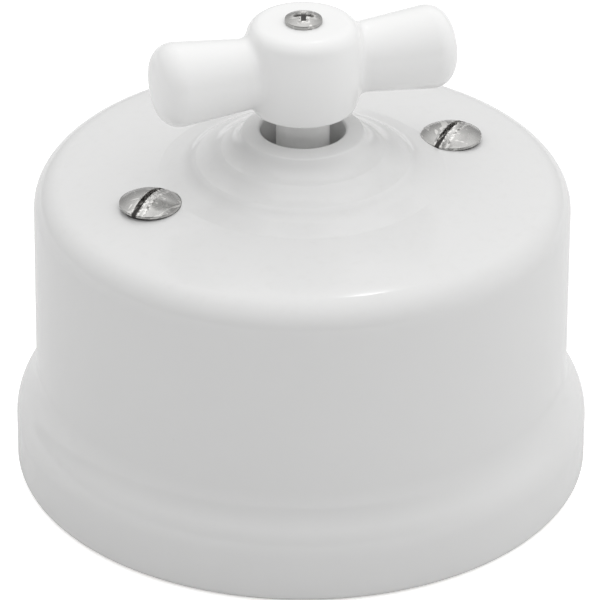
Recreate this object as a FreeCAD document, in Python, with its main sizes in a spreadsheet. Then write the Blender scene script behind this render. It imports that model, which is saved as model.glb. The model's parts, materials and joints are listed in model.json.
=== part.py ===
import FreeCAD, Part
import math
import os
import re
import Sketcher

# Surface-mounted rotary switch in glazed porcelain. Z is the turning axis, z = 0 is the
# wall face, and the two cover screws stand on the X axis. Lengths are in millimetres.

SIZES = {
    # Cover: flange, cove, drum, crowned top and stepped boss
    "cover_radius": 35.0,
    "cover_wall": 3.7,
    "flange_height": 7.93,
    "flange_slope": 35.0,
    "flange_round": 5.6,
    "cove_round": 7.6,
    "rim_round": 1.0,
    "drum_base_radius": 32.5,
    "drum_top_radius": 32.36,
    "drum_height": 37.82,
    "drum_round": 3.6,
    "crown_slope": 5.5,
    "cover_ceiling": 34.4,
    "cavity_round": 2.0,
    "boss_radius": 16.6,
    "boss_step_height": 0.85,
    "boss_draft": 0.5,
    "ring_radius": 14.1,
    "ring_height": 41.1,
    "collar_radius": 10.9,
    "collar_height": 42.45,
    "lip_radius": 8.8,
    "lip_height": 44.8,
    "boss_tread_rise": 0.6,
    "boss_edge_round": 0.4,
    "bore_radius": 5.1,
    "boss_hollow_radius": 11.0,
    "boss_hollow_depth": 3.2,
    # Cover screws and the pillars that they go into
    "screw_circle": 20.1,
    "cover_screw_head_radius": 3.8,
    "cover_screw_rim_height": 0.45,
    "cover_screw_rim_round": 0.27,
    "cover_screw_dome": 0.8,
    "cover_screw_stand": 0.25,
    "cover_screw_radius": 1.95,
    "cover_screw_reach": 15.0,
    "cover_screw_slot": 1.0,
    "cover_screw_slot_depth": 1.15,
    "cover_screw_turn": 34.0,
    "cover_hole_radius": 2.3,
    "pillar_radius": 3.5,
    "pillar_chamfer": 0.6,
    "pillar_tap_depth": 12.5,
    # Base
    "base_rim_height": 7.0,
    "base_height": 9.0,
    "base_gap": 0.7,
    "base_round": 0.8,
    "base_recess_radius": 25.0,
    "base_recess_depth": 2.5,
    "pivot_boss_radius": 6.0,
    "pivot_boss_height": 0.9,
    "wall_hole_radius": 2.3,
    "wall_hole_offset": 21.0,
    "wall_head_radius": 4.5,
    "wall_head_depth": 3.0,
    "cable_hole_radius": 4.5,
    "cable_hole_x": 12.5,
    "cable_hole_y": 14.5,
    # Handle
    "handle_turn": -7.0,
    "handle_height": 53.3,
    "handle_reach": 18.7,
    "arm_waist_radius": 4.15,
    "arm_tip_radius": 5.1,
    "arm_tip_round": 2.6,
    "arm_tip_dome": 0.8,
    "hub_radius": 7.2,
    "hub_bottom": 48.0,
    "hub_rim_radius": 5.0,
    "hub_shoulder_radius": 6.65,
    "hub_shoulder_height": 57.0,
    "hub_seat_radius": 2.5,
    "hub_top": 59.6,
    "hub_seat_height": 58.95,
    "hub_lower_rise": 5.2,
    "hub_top_radius": 3.0,
    "hub_rim_round": 0.4,
    "arm_root_depth": 1.2,
    "hub_lower_curve": 7.0,
    "hub_upper_curve": 10.0,
    "hub_top_curve": 3.6,
    "hub_arm_blend": 2.4,
    "handle_screw_radius": 1.25,
    "handle_screw_head_radius": 2.2,
    "handle_screw_head_height": 1.15,
    "handle_screw_reach": 11.0,
    "handle_screw_rim_height": 0.55,
    "handle_screw_rim_round": 0.28,
    "handle_screw_cross_width": 0.55,
    "handle_screw_cross_reach": 1.3,
    "handle_screw_cross_depth": 0.7,
    "handle_screw_turn": 13.0,
    # Turning shaft with what rides on it
    "neck_radius": 3.2,
    "tenon_width": 4.4,
    "tenon_top": 56.5,
    "square_width": 6.0,
    "journal_radius": 2.5,
    "journal_bottom": 5.5,
    "fit_gap": 0.05,
    "thrust_gap": 0.1,
    "carrier_radius": 9.5,
    "carrier_height": 5.1,
    "carrier_chamfer": 0.6,
    "contact_radius": 11.5,
    "contact_width": 9.0,
    "contact_thickness": 1.5,
    "cam_collar_radius": 5.0,
    "cam_collar_height": 4.2,
    "cam_width": 10.0,
    "cam_corner": 1.2,
    "cam_height": 5.0,
    "washer_radius": 5.6,
    "washer_thickness": 0.6,
    "clip_radius": 5.0,
    "clip_thickness": 0.7,
    "clip_groove_radius": 2.6,
    # Bridge that carries the shaft's upper bearing and the detent springs
    "bridge_thickness": 1.5,
    "bridge_half_span": 15.0,
    "bridge_width": 14.0,
    "bridge_foot_reach": 24.4,
    "bridge_bend": 0.9,
    "spring_thickness": 0.4,
    "spring_height": 4.6,
    "spring_reach": 16.6,
    "spring_hook": 1.8,
    "spring_gap": 0.06,
    "spring_slot": 0.9,
    # Fixed contacts and terminals
    "terminal_x": 12.6,
    "terminal_width": 8.4,
    "terminal_depth": 7.0,
    "terminal_height": 9.5,
    "terminal_corner": 0.6,
    "wire_hole_radius": 1.6,
    "wire_hole_height": 5.6,
    "leaf_thickness": 0.5,
    "leaf_width": 6.0,
    "leaf_end_curve": 3.6,
    "contact_gap": 0.1,
    "contact_tip_radius": 1.8,
    "contact_tip_face": 1.1,
    "contact_tip_side": 0.35,
    "contact_tip_height": 1.0,
    "contact_stem_radius": 0.9,
    "rivet_radius": 1.1,
    "rivet_head_radius": 1.9,
    "rivet_head_face": 1.5,
    "rivet_head_height": 0.7,
    "rivet_grip": 1.4,
    "clamp_screw_radius": 1.7,
    "clamp_head_radius": 2.9,
    "clamp_head_height": 1.8,
    "screw_slot": 0.8,
    "screw_slot_depth": 0.95,
    "screw_head_edge": 0.4,
    "base_screw_radius": 1.95,
    "base_screw_head_radius": 3.4,
    "base_screw_head_height": 2.0,
    "base_screw_grip": 6.0,
    "block_screw_grip": 3.2,
}

doc = FreeCAD.newDocument("RotarySwitch")
sheet = doc.addObject("Spreadsheet::Sheet", "Sizes")
for row, (alias, number) in enumerate(SIZES.items(), start=1):
    sheet.set("A%d" % row, alias)
    sheet.set("B%d" % row, str(number))
    sheet.setAlias("B%d" % row, alias)
doc.recompute()

WORD = re.compile(r"[a-z][a-z_]*[a-z]")
Z_AXIS = FreeCAD.Vector(0, 0, 1)


def linked(expression):
    """An expression whose size names point at the cells of the sheet."""
    return WORD.sub(lambda word: "Sizes." + word.group(0) if word.group(0) in SIZES else word.group(0),
                    expression)


def worth(expression):
    """The number that an expression in the sizes comes to."""
    result = sheet.evalExpression(linked(expression))
    return float(getattr(result, "Value", result))


def bind(thing, prop, expression):
    thing.setExpression(prop, linked(expression))


# Heights that several pieces share, as expressions in the sizes

BASE_TOP = "base_height"
CARRIER_BOTTOM = "(base_height + pivot_boss_height + thrust_gap)"
CARRIER_TOP = "(%s + carrier_height)" % CARRIER_BOTTOM
CAM_BOTTOM = "(%s + cam_collar_height)" % CARRIER_TOP
CAM_TOP = "(%s + cam_height)" % CAM_BOTTOM
SHOULDER = "(%s + thrust_gap)" % CAM_TOP
BRIDGE_UNDERSIDE = "(%s + washer_thickness + thrust_gap)" % SHOULDER
BRIDGE_TOP = "(%s + bridge_thickness)" % BRIDGE_UNDERSIDE
CLIP_BOTTOM = "(%s + thrust_gap)" % BRIDGE_TOP
CROWN_AT = "(drum_height + (drum_top_radius - %s) * tan(crown_slope * 1deg))"
BOSS_FOOT = CROWN_AT % "boss_radius"
SCREW_SEAT = CROWN_AT % "screw_circle"
LEAF_FACE = "(contact_radius + contact_gap + contact_tip_height)"
CONTACT_MIDDLE = "(%s - contact_thickness / 2)" % CARRIER_TOP
TERMINAL_MIDDLE = "(%s + leaf_thickness + terminal_depth / 2)" % LEAF_FACE
SPRING_BOTTOM = "(%s + (cam_height - spring_height) / 2)" % CAM_BOTTOM


def new_body(label):
    body = doc.addObject("PartDesign::Body", label)
    body.Label = label
    return body


def new_sketch(body, name, role, offset=None):
    """A sketch on one of the body's own origin planes, moved along its normal by the offset."""
    sketch = body.newObject("Sketcher::SketchObject", body.Label + "_" + name)
    plane = [item for item in body.Origin.OriginFeatures if item.Role == role][0]
    sketch.AttachmentSupport = [(plane, "")]
    sketch.MapMode = "FlatFace"
    if offset:
        bind(sketch, "AttachmentOffset.Base.z", offset)
    return sketch


def pin(sketch, edge, end, across, up):
    """Hold one end of an edge at a place given by two expressions."""
    for kind, axis, expression in (("DistanceX", -2, across), ("DistanceY", -1, up)):
        place = worth(expression)
        if abs(place) < 1e-9:
            sketch.addConstraint(Sketcher.Constraint("PointOnObject", edge, end, axis))
        else:
            number = sketch.addConstraint(Sketcher.Constraint(kind, -1, 1, edge, end, place))
            bind(sketch, "Constraints[%d]" % number, expression)


def arc_between(start, finish, radius, left):
    """The short arc from start to finish; its centre is on the left of the way or on the right."""
    chord = finish - start
    middle = (start + finish) * 0.5
    away = math.sqrt(max(radius ** 2 - (chord.Length / 2) ** 2, 0.0))
    side = FreeCAD.Vector(-chord.y, chord.x, 0).normalize() * (1 if left else -1)
    centre = middle + side * away
    crown = centre - side * radius
    return Part.Arc(start, crown, finish)


def outline(sketch, corners, arcs=None):
    """A closed outline. arcs maps the number of a corner to the radius and the side of the arc after it."""
    arcs = arcs or {}
    first = sketch.GeometryCount
    places = [FreeCAD.Vector(worth(across), worth(up), 0) for across, up in corners]
    ends = []
    for number, place in enumerate(places):
        following = places[(number + 1) % len(places)]
        if number in arcs:
            radius, left = arcs[number]
            sketch.addGeometry(arc_between(place, following, worth(radius), left), False)
            ends.append((1, 2) if left else (2, 1))
        else:
            sketch.addGeometry(Part.LineSegment(place, following), False)
            ends.append((1, 2))
    for number, (across, up) in enumerate(corners):
        after = (number + 1) % len(corners)
        sketch.addConstraint(Sketcher.Constraint("Coincident", first + number, ends[number][1],
                                                 first + after, ends[after][0]))
        pin(sketch, first + number, ends[number][0], across, up)
        if number in arcs:
            rule = sketch.addConstraint(Sketcher.Constraint("Radius", first + number,
                                                            worth(arcs[number][0])))
            bind(sketch, "Constraints[%d]" % rule, arcs[number][0])
    return sketch


def rectangle(sketch, left, bottom, right, top):
    return outline(sketch, [(left, bottom), (right, bottom), (right, top), (left, top)])


def circle(sketch, across, up, radius):
    middle = FreeCAD.Vector(worth(across), worth(up), 0)
    edge = sketch.addGeometry(Part.Circle(middle, Z_AXIS, worth(radius)), False)
    pin(sketch, edge, 3, across, up)
    rule = sketch.addConstraint(Sketcher.Constraint("Radius", edge, worth(radius)))
    bind(sketch, "Constraints[%d]" % rule, radius)
    return sketch


def feature(body, kind, sketch, name):
    item = body.newObject("PartDesign::" + kind, body.Label + "_" + name)
    item.Profile = sketch
    sketch.Visibility = False
    return item


def pad(body, sketch, name, length, both_ways=False, back=False):
    item = feature(body, "Pad", sketch, name)
    bind(item, "Length", length)
    item.SideType = "Symmetric" if both_ways else "One side"
    item.Reversed = back
    doc.recompute()
    return item


def pocket(body, sketch, name, depth, both_ways=False, back=False):
    """A cut that must take material away, or it stops the script."""
    before = body.Shape.Volume
    item = feature(body, "Pocket", sketch, name)
    bind(item, "Length", depth)
    item.SideType = "Symmetric" if both_ways else "One side"
    item.Reversed = back
    doc.recompute()
    if body.Shape.Volume > before - 1e-6:
        raise RuntimeError("the cut %s takes nothing away" % item.Label)
    return item


def turn(body, sketch, name, axis="V_Axis", cut=False):
    before = body.Shape.Volume if body.Tip else 0.0
    item = feature(body, "Groove" if cut else "Revolution", sketch, name)
    item.ReferenceAxis = (sketch, [axis])
    item.Angle = 360
    doc.recompute()
    if cut and body.Shape.Volume > before - 1e-6:
        raise RuntimeError("the cut %s takes nothing away" % item.Label)
    return item


def edges_where(shape, test):
    return ["Edge%d" % number for number, edge in enumerate(shape.Edges, start=1)
            if not edge.Degenerated and test(edge)]


def cap_radius(reach, rise):
    """The radius of a ball's cap that reaches this far from its middle and rises this high."""
    return "((%s ^ 2 + %s ^ 2) / (2 * %s))" % (reach, rise, rise)


def is_ring(edge, radius, height):
    """Whether an edge is a circle about the body's Z axis with this radius at this height."""
    curve = edge.Curve
    if not isinstance(curve, Part.Circle) or abs(abs(curve.Axis.z) - 1) > 1e-6:
        return False
    flat = math.hypot(curve.Center.x, curve.Center.y)
    return flat < 1e-6 and abs(curve.Radius - radius) < 1e-4 and abs(curve.Center.z - height) < 1e-4


def soften(body, name, size, test, kind="Fillet"):
    """Round or bevel the edges that pass the test."""
    base = body.Tip
    names = edges_where(base.Shape, test)
    if not names:
        raise RuntimeError("no edge to soften for %s of %s" % (name, body.Label))
    item = body.newObject("PartDesign::" + kind, body.Label + "_" + name)
    item.Base = (base, names)
    bind(item, "Radius" if kind == "Fillet" else "Size", size)
    doc.recompute()
    return item


def soften_ring(body, name, size, radius, height, kind="Fillet"):
    ring_radius = worth(radius)
    ring_height = worth(height)
    return soften(body, name, size, lambda edge: is_ring(edge, ring_radius, ring_height), kind)


def group(label, members):
    """Separate like solids as one node."""
    node = doc.addObject("Part::Compound", label)
    node.Label = label
    node.Links = members
    doc.recompute()
    return node


def set_place(thing, across="0", along="0", up="0", turned="0"):
    """Place a body by expressions, turned about Z by an angle in degrees."""
    for letter, expression in (("x", across), ("y", along), ("z", up)):
        if expression != "0":
            bind(thing, "Placement.Base." + letter, expression)
    if turned != "0":
        thing.Placement = FreeCAD.Placement(thing.Placement.Base, FreeCAD.Rotation(Z_AXIS, 1))
        bind(thing, "Placement.Rotation.Angle", "(%s) * 1deg" % turned)
    doc.recompute()


def make_cover():
    """Drum and flange of one porcelain casting, with a stepped boss round the shaft."""
    body = new_body("cover")
    inner_radius = "(cover_radius - cover_wall)"
    drum_inner = "(drum_top_radius - cover_wall)"
    cove_corner = "(flange_height + (cover_radius - drum_base_radius) / tan(flange_slope * 1deg))"
    step_top = "(%s + boss_step_height)" % BOSS_FOOT
    inner_step = "(base_rim_height + base_gap)"
    boss = [
        ("boss_radius", BOSS_FOOT),
        ("boss_radius - boss_draft", step_top),
        ("ring_radius", step_top + " + boss_tread_rise / 2"),
        ("ring_radius - boss_draft", "ring_height"),
        ("collar_radius", "ring_height + boss_tread_rise"),
        ("collar_radius - boss_draft", "collar_height"),
        ("lip_radius", "collar_height + boss_tread_rise"),
        ("lip_radius - 2 * boss_draft", "lip_height"),
        ("bore_radius", "lip_height"),
    ]
    outside = [
        (inner_radius, "0"),
        ("cover_radius", "0"),
        ("cover_radius", "flange_height"),
        ("drum_base_radius", cove_corner),
        ("drum_top_radius", "drum_height"),
    ]
    inside = [
        ("bore_radius", "cover_ceiling + boss_hollow_depth"),
        ("boss_hollow_radius", "cover_ceiling + boss_hollow_depth"),
        ("boss_hollow_radius", "cover_ceiling"),
        (drum_inner, "cover_ceiling"),
        (drum_inner, inner_step + " + %s - %s" % (inner_radius, drum_inner)),
        (inner_radius, inner_step),
    ]
    turn(body, outline(new_sketch(body, "section", "XZ_Plane"), outside + boss + inside), "turned")
    soften_ring(body, "cove", "cove_round", "drum_base_radius", cove_corner)
    soften_ring(body, "shoulder", "flange_round", "cover_radius", "flange_height")
    soften_ring(body, "crown_edge", "drum_round", "drum_top_radius", "drum_height")
    soften_ring(body, "rim", "rim_round", "cover_radius", "0")
    soften_ring(body, "cavity_edge", "cavity_round", drum_inner, "cover_ceiling")
    rings = [(worth(radius), worth(height)) for radius, height in boss]
    soften(body, "boss_edges", "boss_edge_round",
           lambda edge: any(is_ring(edge, radius, height) for radius, height in rings))
    for side, sign in (("right", ""), ("left", "-")):
        seat = new_sketch(body, "screw_hole_" + side, "XY_Plane", SCREW_SEAT + " + cover_screw_dome")
        circle(seat, sign + "screw_circle", "0", "cover_hole_radius")
        pocket(body, seat, "hole_" + side, "cover_wall * 2 + cover_screw_dome")
        cone = cone_section(new_sketch(body, "screw_cone_" + side, "XZ_Plane"), sign + "screw_circle")
        turn(body, cone, "countersink_" + side, axis="Axis0", cut=True)
    return body


def cone_section(sketch, axis):
    """Half of the countersink's section, drawn out from the screw's axis."""
    head = "(cover_screw_head_radius + fit_gap)"
    floor = "(%s - %s + cover_screw_radius)" % (SCREW_SEAT, head)
    rim = SCREW_SEAT
    above = "(%s + cover_screw_dome)" % SCREW_SEAT
    outline(sketch, [(axis, floor), ("%s + cover_screw_radius" % axis, floor), ("%s + %s" % (axis, head), rim),
                     ("%s + %s" % (axis, head), above), (axis, above)])
    return upright_axis(sketch, axis)


def upright_axis(sketch, across):
    """Give the sketch an upright construction line to turn its outline about."""
    low = FreeCAD.Vector(worth(across), 0, 0)
    high = FreeCAD.Vector(worth(across), 1, 0)
    line = sketch.addGeometry(Part.LineSegment(low, high), True)
    pin(sketch, line, 1, across, "0")
    pin(sketch, line, 2, across, "1")
    return sketch


def make_base():
    """Porcelain base with a foot ring, seats for the works and ways through for screws and cable."""
    body = new_body("base")
    outer = "(cover_radius - cover_wall - base_gap)"
    upper = "(drum_top_radius - cover_wall - base_gap)"
    boss_top = "(base_height + pivot_boss_height)"
    pivot = "(journal_radius + fit_gap)"
    section = [
        ("0", "base_recess_depth"),
        ("base_recess_radius", "base_recess_depth"),
        ("base_recess_radius", "0"),
        (outer, "0"),
        (outer, "base_rim_height"),
        (upper, "base_rim_height"),
        (upper, "base_height"),
        ("pivot_boss_radius", "base_height"),
        ("pivot_boss_radius", boss_top),
        (pivot, boss_top),
        (pivot, "journal_bottom - thrust_gap"),
        ("0", "journal_bottom - thrust_gap"),
    ]
    turn(body, outline(new_sketch(body, "section", "XZ_Plane"), section), "turned")
    soften_ring(body, "rim", "base_round", outer, "base_rim_height")
    soften_ring(body, "top_edge", "base_round", upper, "base_height")
    heads = new_sketch(body, "wall_screw_heads", "XY_Plane", "base_height")
    circle(heads, "0", "wall_hole_offset", "wall_head_radius")
    circle(heads, "0", "-wall_hole_offset", "wall_head_radius")
    pocket(body, heads, "wall_head_seats", "wall_head_depth")
    ways = new_sketch(body, "ways", "XY_Plane", "base_height")
    circle(ways, "0", "wall_hole_offset", "wall_hole_radius")
    circle(ways, "0", "-wall_hole_offset", "wall_hole_radius")
    circle(ways, "cable_hole_x", "cable_hole_y", "cable_hole_radius")
    circle(ways, "-cable_hole_x", "-cable_hole_y", "cable_hole_radius")
    circle(ways, "screw_circle", "0", "base_screw_radius + fit_gap")
    circle(ways, "-screw_circle", "0", "base_screw_radius + fit_gap")
    circle(ways, "terminal_x", "-" + TERMINAL_MIDDLE, "base_screw_radius + fit_gap")
    circle(ways, "-terminal_x", TERMINAL_MIDDLE, "base_screw_radius + fit_gap")
    pocket(body, ways, "ways_through", "base_height")
    return body


def make_bridge():
    """Steel strap bent to a bridge: its crown is the shaft's upper bearing, its legs hold the springs."""
    body = new_body("bridge")
    inner = "(bridge_half_span - bridge_thickness)"
    foot_top = "(base_height + bridge_thickness)"
    right = [
        (inner, BASE_TOP),
        ("bridge_foot_reach", BASE_TOP),
        ("bridge_foot_reach", foot_top),
        ("bridge_half_span", foot_top),
        ("bridge_half_span", BRIDGE_TOP),
    ]
    left = [("-" + across, up) for across, up in reversed(right)]
    crown = [("-" + inner, BRIDGE_UNDERSIDE), (inner, BRIDGE_UNDERSIDE)]
    pad(body, outline(new_sketch(body, "profile", "XZ_Plane"), right + left + crown), "strip",
        "bridge_width", both_ways=True)
    bends = [(worth(inner), worth(BRIDGE_UNDERSIDE)), (worth("bridge_half_span"), worth(foot_top))]
    outer_bends = [(worth("bridge_half_span"), worth(BRIDGE_TOP)), (worth(inner), worth(BASE_TOP))]
    soften(body, "inner_bends", "bridge_bend", lambda edge: runs_along_y(edge, bends))
    soften(body, "outer_bends", "bridge_bend + bridge_thickness", lambda edge: runs_along_y(edge, outer_bends))
    holes = new_sketch(body, "holes", "XY_Plane", BRIDGE_TOP)
    circle(holes, "0", "0", "neck_radius + fit_gap")
    circle(holes, "screw_circle", "0", "base_screw_radius + fit_gap")
    circle(holes, "-screw_circle", "0", "base_screw_radius + fit_gap")
    pocket(body, holes, "drilled", BRIDGE_TOP)
    slots = new_sketch(body, "spring_slots", "YZ_Plane")
    near = "(cam_width / 2 + spring_gap + spring_thickness / 2 - spring_slot / 2)"
    far = "(%s + spring_slot)" % near
    low = "(%s - spring_slot / 2)" % SPRING_BOTTOM
    high = "(%s + spring_height + spring_slot / 2)" % SPRING_BOTTOM
    rectangle(slots, near, low, far, high)
    rectangle(slots, "-" + far, low, "-" + near, high)
    pocket(body, slots, "slotted", "2 * bridge_foot_reach", both_ways=True)
    corners = worth("bridge_foot_reach")
    soften(body, "foot_corners", "bridge_bend", lambda edge: is_upright(edge, corners))
    return body


def runs_along_y(edge, places):
    """Whether a straight edge runs along Y through one of these X and Z places, on either side."""
    if not isinstance(edge.Curve, Part.Line) or abs(abs(edge.Curve.Direction.y) - 1) > 1e-6:
        return False
    start = edge.Vertexes[0].Point
    return any(abs(abs(start.x) - across) < 1e-4 and abs(start.z - up) < 1e-4 for across, up in places)


def is_upright(edge, reach):
    """Whether a straight edge stands along Z at this distance from the YZ plane."""
    if not isinstance(edge.Curve, Part.Line) or abs(abs(edge.Curve.Direction.z) - 1) > 1e-6:
        return False
    return abs(abs(edge.Vertexes[0].Point.x) - reach) < 1e-4


def square_hole(body, width, name, bottom, depth, turned=None):
    sketch = new_sketch(body, name + "_outline", "XY_Plane", bottom)
    if turned:
        sketch.AttachmentOffset = FreeCAD.Placement(sketch.AttachmentOffset.Base, FreeCAD.Rotation(Z_AXIS, 1))
        bind(sketch, "AttachmentOffset.Rotation.Angle", "(%s) * 1deg" % turned)
    half = "(%s) / 2" % width
    rectangle(sketch, "-" + half, "-" + half, half, half)
    return pocket(body, sketch, name, depth, back=True)


def make_shaft():
    """Moulded shaft: journal in the base, square for the works, round neck and square tenon."""
    body = new_body("turning_shaft")
    groove_top = "(%s + clip_thickness + thrust_gap)" % CLIP_BOTTOM
    core = "(tenon_width / 2 - fit_gap)"
    section = [
        ("0", "journal_bottom"),
        ("journal_radius", "journal_bottom"),
        ("journal_radius", SHOULDER),
        ("neck_radius", SHOULDER),
        ("neck_radius", CLIP_BOTTOM),
        ("clip_groove_radius", CLIP_BOTTOM),
        ("clip_groove_radius", groove_top),
        ("neck_radius", groove_top),
        ("neck_radius", "hub_bottom"),
        (core, "hub_bottom"),
        (core, "tenon_top"),
        ("0", "tenon_top"),
    ]
    turn(body, outline(new_sketch(body, "section", "XZ_Plane"), section), "turned")
    square = new_sketch(body, "square_outline", "XY_Plane", CARRIER_BOTTOM)
    rectangle(square, "-square_width / 2", "-square_width / 2", "square_width / 2", "square_width / 2")
    pad(body, square, "square", "%s - %s" % (SHOULDER, CARRIER_BOTTOM))
    tenon = new_sketch(body, "tenon_outline", "XY_Plane", "hub_bottom")
    tenon.AttachmentOffset = FreeCAD.Placement(tenon.AttachmentOffset.Base, FreeCAD.Rotation(Z_AXIS, 1))
    bind(tenon, "AttachmentOffset.Rotation.Angle", "handle_turn * 1deg")
    rectangle(tenon, "-tenon_width / 2", "-tenon_width / 2", "tenon_width / 2", "tenon_width / 2")
    pad(body, tenon, "tenon", "tenon_top - hub_bottom")
    bore = new_sketch(body, "screw_hole", "XY_Plane", "tenon_top")
    circle(bore, "0", "0", "handle_screw_radius")
    pocket(body, bore, "drilled", "tenon_top - hub_seat_height + handle_screw_reach + thrust_gap")
    return body


def make_carrier():
    """Insulating drum under the moving contact, which lies in the channel across its top."""
    body = new_body("contact_carrier")
    disc = new_sketch(body, "disc", "XY_Plane", CARRIER_BOTTOM)
    circle(disc, "0", "0", "carrier_radius")
    pad(body, disc, "drum", "carrier_height")
    channel = new_sketch(body, "channel", "XY_Plane", CARRIER_TOP)
    wide = "(contact_width / 2 + fit_gap)"
    rectangle(channel, "-carrier_radius", "-" + wide, "carrier_radius", wide)
    pocket(body, channel, "channelled", "contact_thickness")
    square_hole(body, "square_width + 2 * fit_gap", "square_way", CARRIER_BOTTOM, "carrier_height")
    soften_ring(body, "foot", "carrier_chamfer", "carrier_radius", CARRIER_BOTTOM, kind="Chamfer")
    return body


def make_moving_contact():
    """Brass bar across the carrier; both of its ends are struck to the circle that they sweep."""
    body = new_body("moving_contact")
    plan = new_sketch(body, "plan", "XY_Plane", "%s - contact_thickness" % CARRIER_TOP)
    end = "sqrt(contact_radius ^ 2 - contact_width ^ 2 / 4)"
    corners = [(end, "-contact_width / 2"), (end, "contact_width / 2"),
               ("-" + end, "contact_width / 2"), ("-" + end, "-contact_width / 2")]
    outline(plan, corners, {0: ("contact_radius", True), 2: ("contact_radius", True)})
    pad(body, plan, "plate", "contact_thickness")
    square_hole(body, "square_width + 2 * fit_gap", "square_way",
                "%s - contact_thickness" % CARRIER_TOP, "contact_thickness")
    return body


def make_cam():
    """Four-sided cam that the springs hold at every quarter turn, on a round distance collar."""
    body = new_body("detent_cam")
    collar = new_sketch(body, "collar_outline", "XY_Plane", CARRIER_TOP)
    circle(collar, "0", "0", "cam_collar_radius")
    pad(body, collar, "collar", "cam_collar_height")
    square = new_sketch(body, "cam_outline", "XY_Plane", CAM_BOTTOM)
    rectangle(square, "-cam_width / 2", "-cam_width / 2", "cam_width / 2", "cam_width / 2")
    pad(body, square, "cam", "cam_height")
    reach = worth("cam_width / 2")
    soften(body, "cam_corners", "cam_corner", lambda edge: is_upright(edge, reach))
    square_hole(body, "square_width + 2 * fit_gap", "square_way", CARRIER_TOP,
                "cam_collar_height + cam_height")
    return body


def make_washer():
    body = new_body("shaft_washer")
    ring = new_sketch(body, "ring", "XY_Plane", SHOULDER)
    circle(ring, "0", "0", "washer_radius")
    circle(ring, "0", "0", "neck_radius + fit_gap")
    pad(body, ring, "plate", "washer_thickness")
    return body


def make_clip():
    """Open spring clip that holds the shaft up on the bridge."""
    body = new_body("retaining_clip")
    ring = new_sketch(body, "ring", "XY_Plane", CLIP_BOTTOM)
    circle(ring, "0", "0", "clip_radius")
    circle(ring, "0", "0", "clip_groove_radius + fit_gap")
    pad(body, ring, "plate", "clip_thickness")
    mouth = new_sketch(body, "mouth", "XY_Plane", CLIP_BOTTOM)
    half = "(clip_groove_radius - 4 * fit_gap)"
    rectangle(mouth, "0", "-" + half, "clip_radius", half)
    pocket(body, mouth, "opened", "clip_thickness", back=True)
    return body


def make_detent_spring(label, turned):
    """Flat spring along one side of the cam, hooked at both ends behind the bridge's legs."""
    body = new_body(label)
    near = "(cam_width / 2 + spring_gap)"
    far = "(%s + spring_thickness)" % near
    tip = "(%s + spring_hook)" % near
    inside = "(spring_reach - spring_thickness)"
    strip = new_sketch(body, "strip", "XY_Plane", SPRING_BOTTOM)
    outline(strip, [("-spring_reach", near), ("spring_reach", near), ("spring_reach", tip), (inside, tip),
                    (inside, far), ("-" + inside, far), ("-" + inside, tip), ("-spring_reach", tip)])
    pad(body, strip, "blade", "spring_height")
    set_place(body, turned=turned)
    return body


def make_terminal(label, turned):
    """Brass block with a way for the wire along X and a tapped hole for its clamping screw."""
    body = new_body(label)
    block = new_sketch(body, "plan", "XY_Plane", BASE_TOP)
    near = "-(%s + leaf_thickness)" % LEAF_FACE
    far = "-(%s + leaf_thickness + terminal_depth)" % LEAF_FACE
    rectangle(block, "terminal_x - terminal_width / 2", far, "terminal_x + terminal_width / 2", near)
    pad(body, block, "block", "terminal_height")
    edge_left = worth("terminal_x - terminal_width / 2")
    edge_right = worth("terminal_x + terminal_width / 2")
    soften(body, "corners", "terminal_corner",
           lambda edge: is_upright(edge, edge_left) or is_upright(edge, edge_right), kind="Chamfer")
    way = new_sketch(body, "wire_way", "YZ_Plane")
    circle(way, "-" + TERMINAL_MIDDLE, "base_height + wire_hole_height", "wire_hole_radius")
    pocket(body, way, "wire_hole", "terminal_x + terminal_width", back=True)
    top = new_sketch(body, "clamp_way", "XY_Plane", "base_height + terminal_height")
    circle(top, "terminal_x", "-" + TERMINAL_MIDDLE, "clamp_screw_radius + fit_gap")
    pocket(body, top, "clamp_hole", "terminal_height - wire_hole_height")
    under = new_sketch(body, "fixing_way", "XY_Plane", BASE_TOP)
    circle(under, "terminal_x", "-" + TERMINAL_MIDDLE, "base_screw_radius + fit_gap")
    pocket(body, under, "fixing_hole", "block_screw_grip + thrust_gap", back=True)
    front = new_sketch(body, "rivet_way", "XZ_Plane", "%s + leaf_thickness" % LEAF_FACE)
    circle(front, "terminal_x", CONTACT_MIDDLE, "rivet_radius + fit_gap")
    pocket(body, front, "rivet_hole", "rivet_grip + thrust_gap", back=True)
    set_place(body, turned=turned)
    return body


def make_leaf(label, turned):
    """Fixed contact spring: a bronze strip from the terminal to the moving contact's circle."""
    body = new_body(label)
    strip = new_sketch(body, "strip", "XZ_Plane", LEAF_FACE)
    low = "(%s - leaf_width / 2)" % CONTACT_MIDDLE
    high = "(%s + leaf_width / 2)" % CONTACT_MIDDLE
    right = "(terminal_x + terminal_width / 2 - terminal_corner)"
    free = "-contact_tip_radius"
    corners = [(free, low), (right, low), (right, high), (free, high)]
    outline(strip, corners, {3: ("leaf_end_curve", True)})
    pad(body, strip, "blade", "leaf_thickness")
    holes = new_sketch(body, "holes", "XZ_Plane", LEAF_FACE)
    circle(holes, "terminal_x", CONTACT_MIDDLE, "rivet_radius + fit_gap")
    circle(holes, "0", CONTACT_MIDDLE, "contact_stem_radius")
    pocket(body, holes, "punched", "leaf_thickness", back=True)
    set_place(body, turned=turned)
    return body


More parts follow.
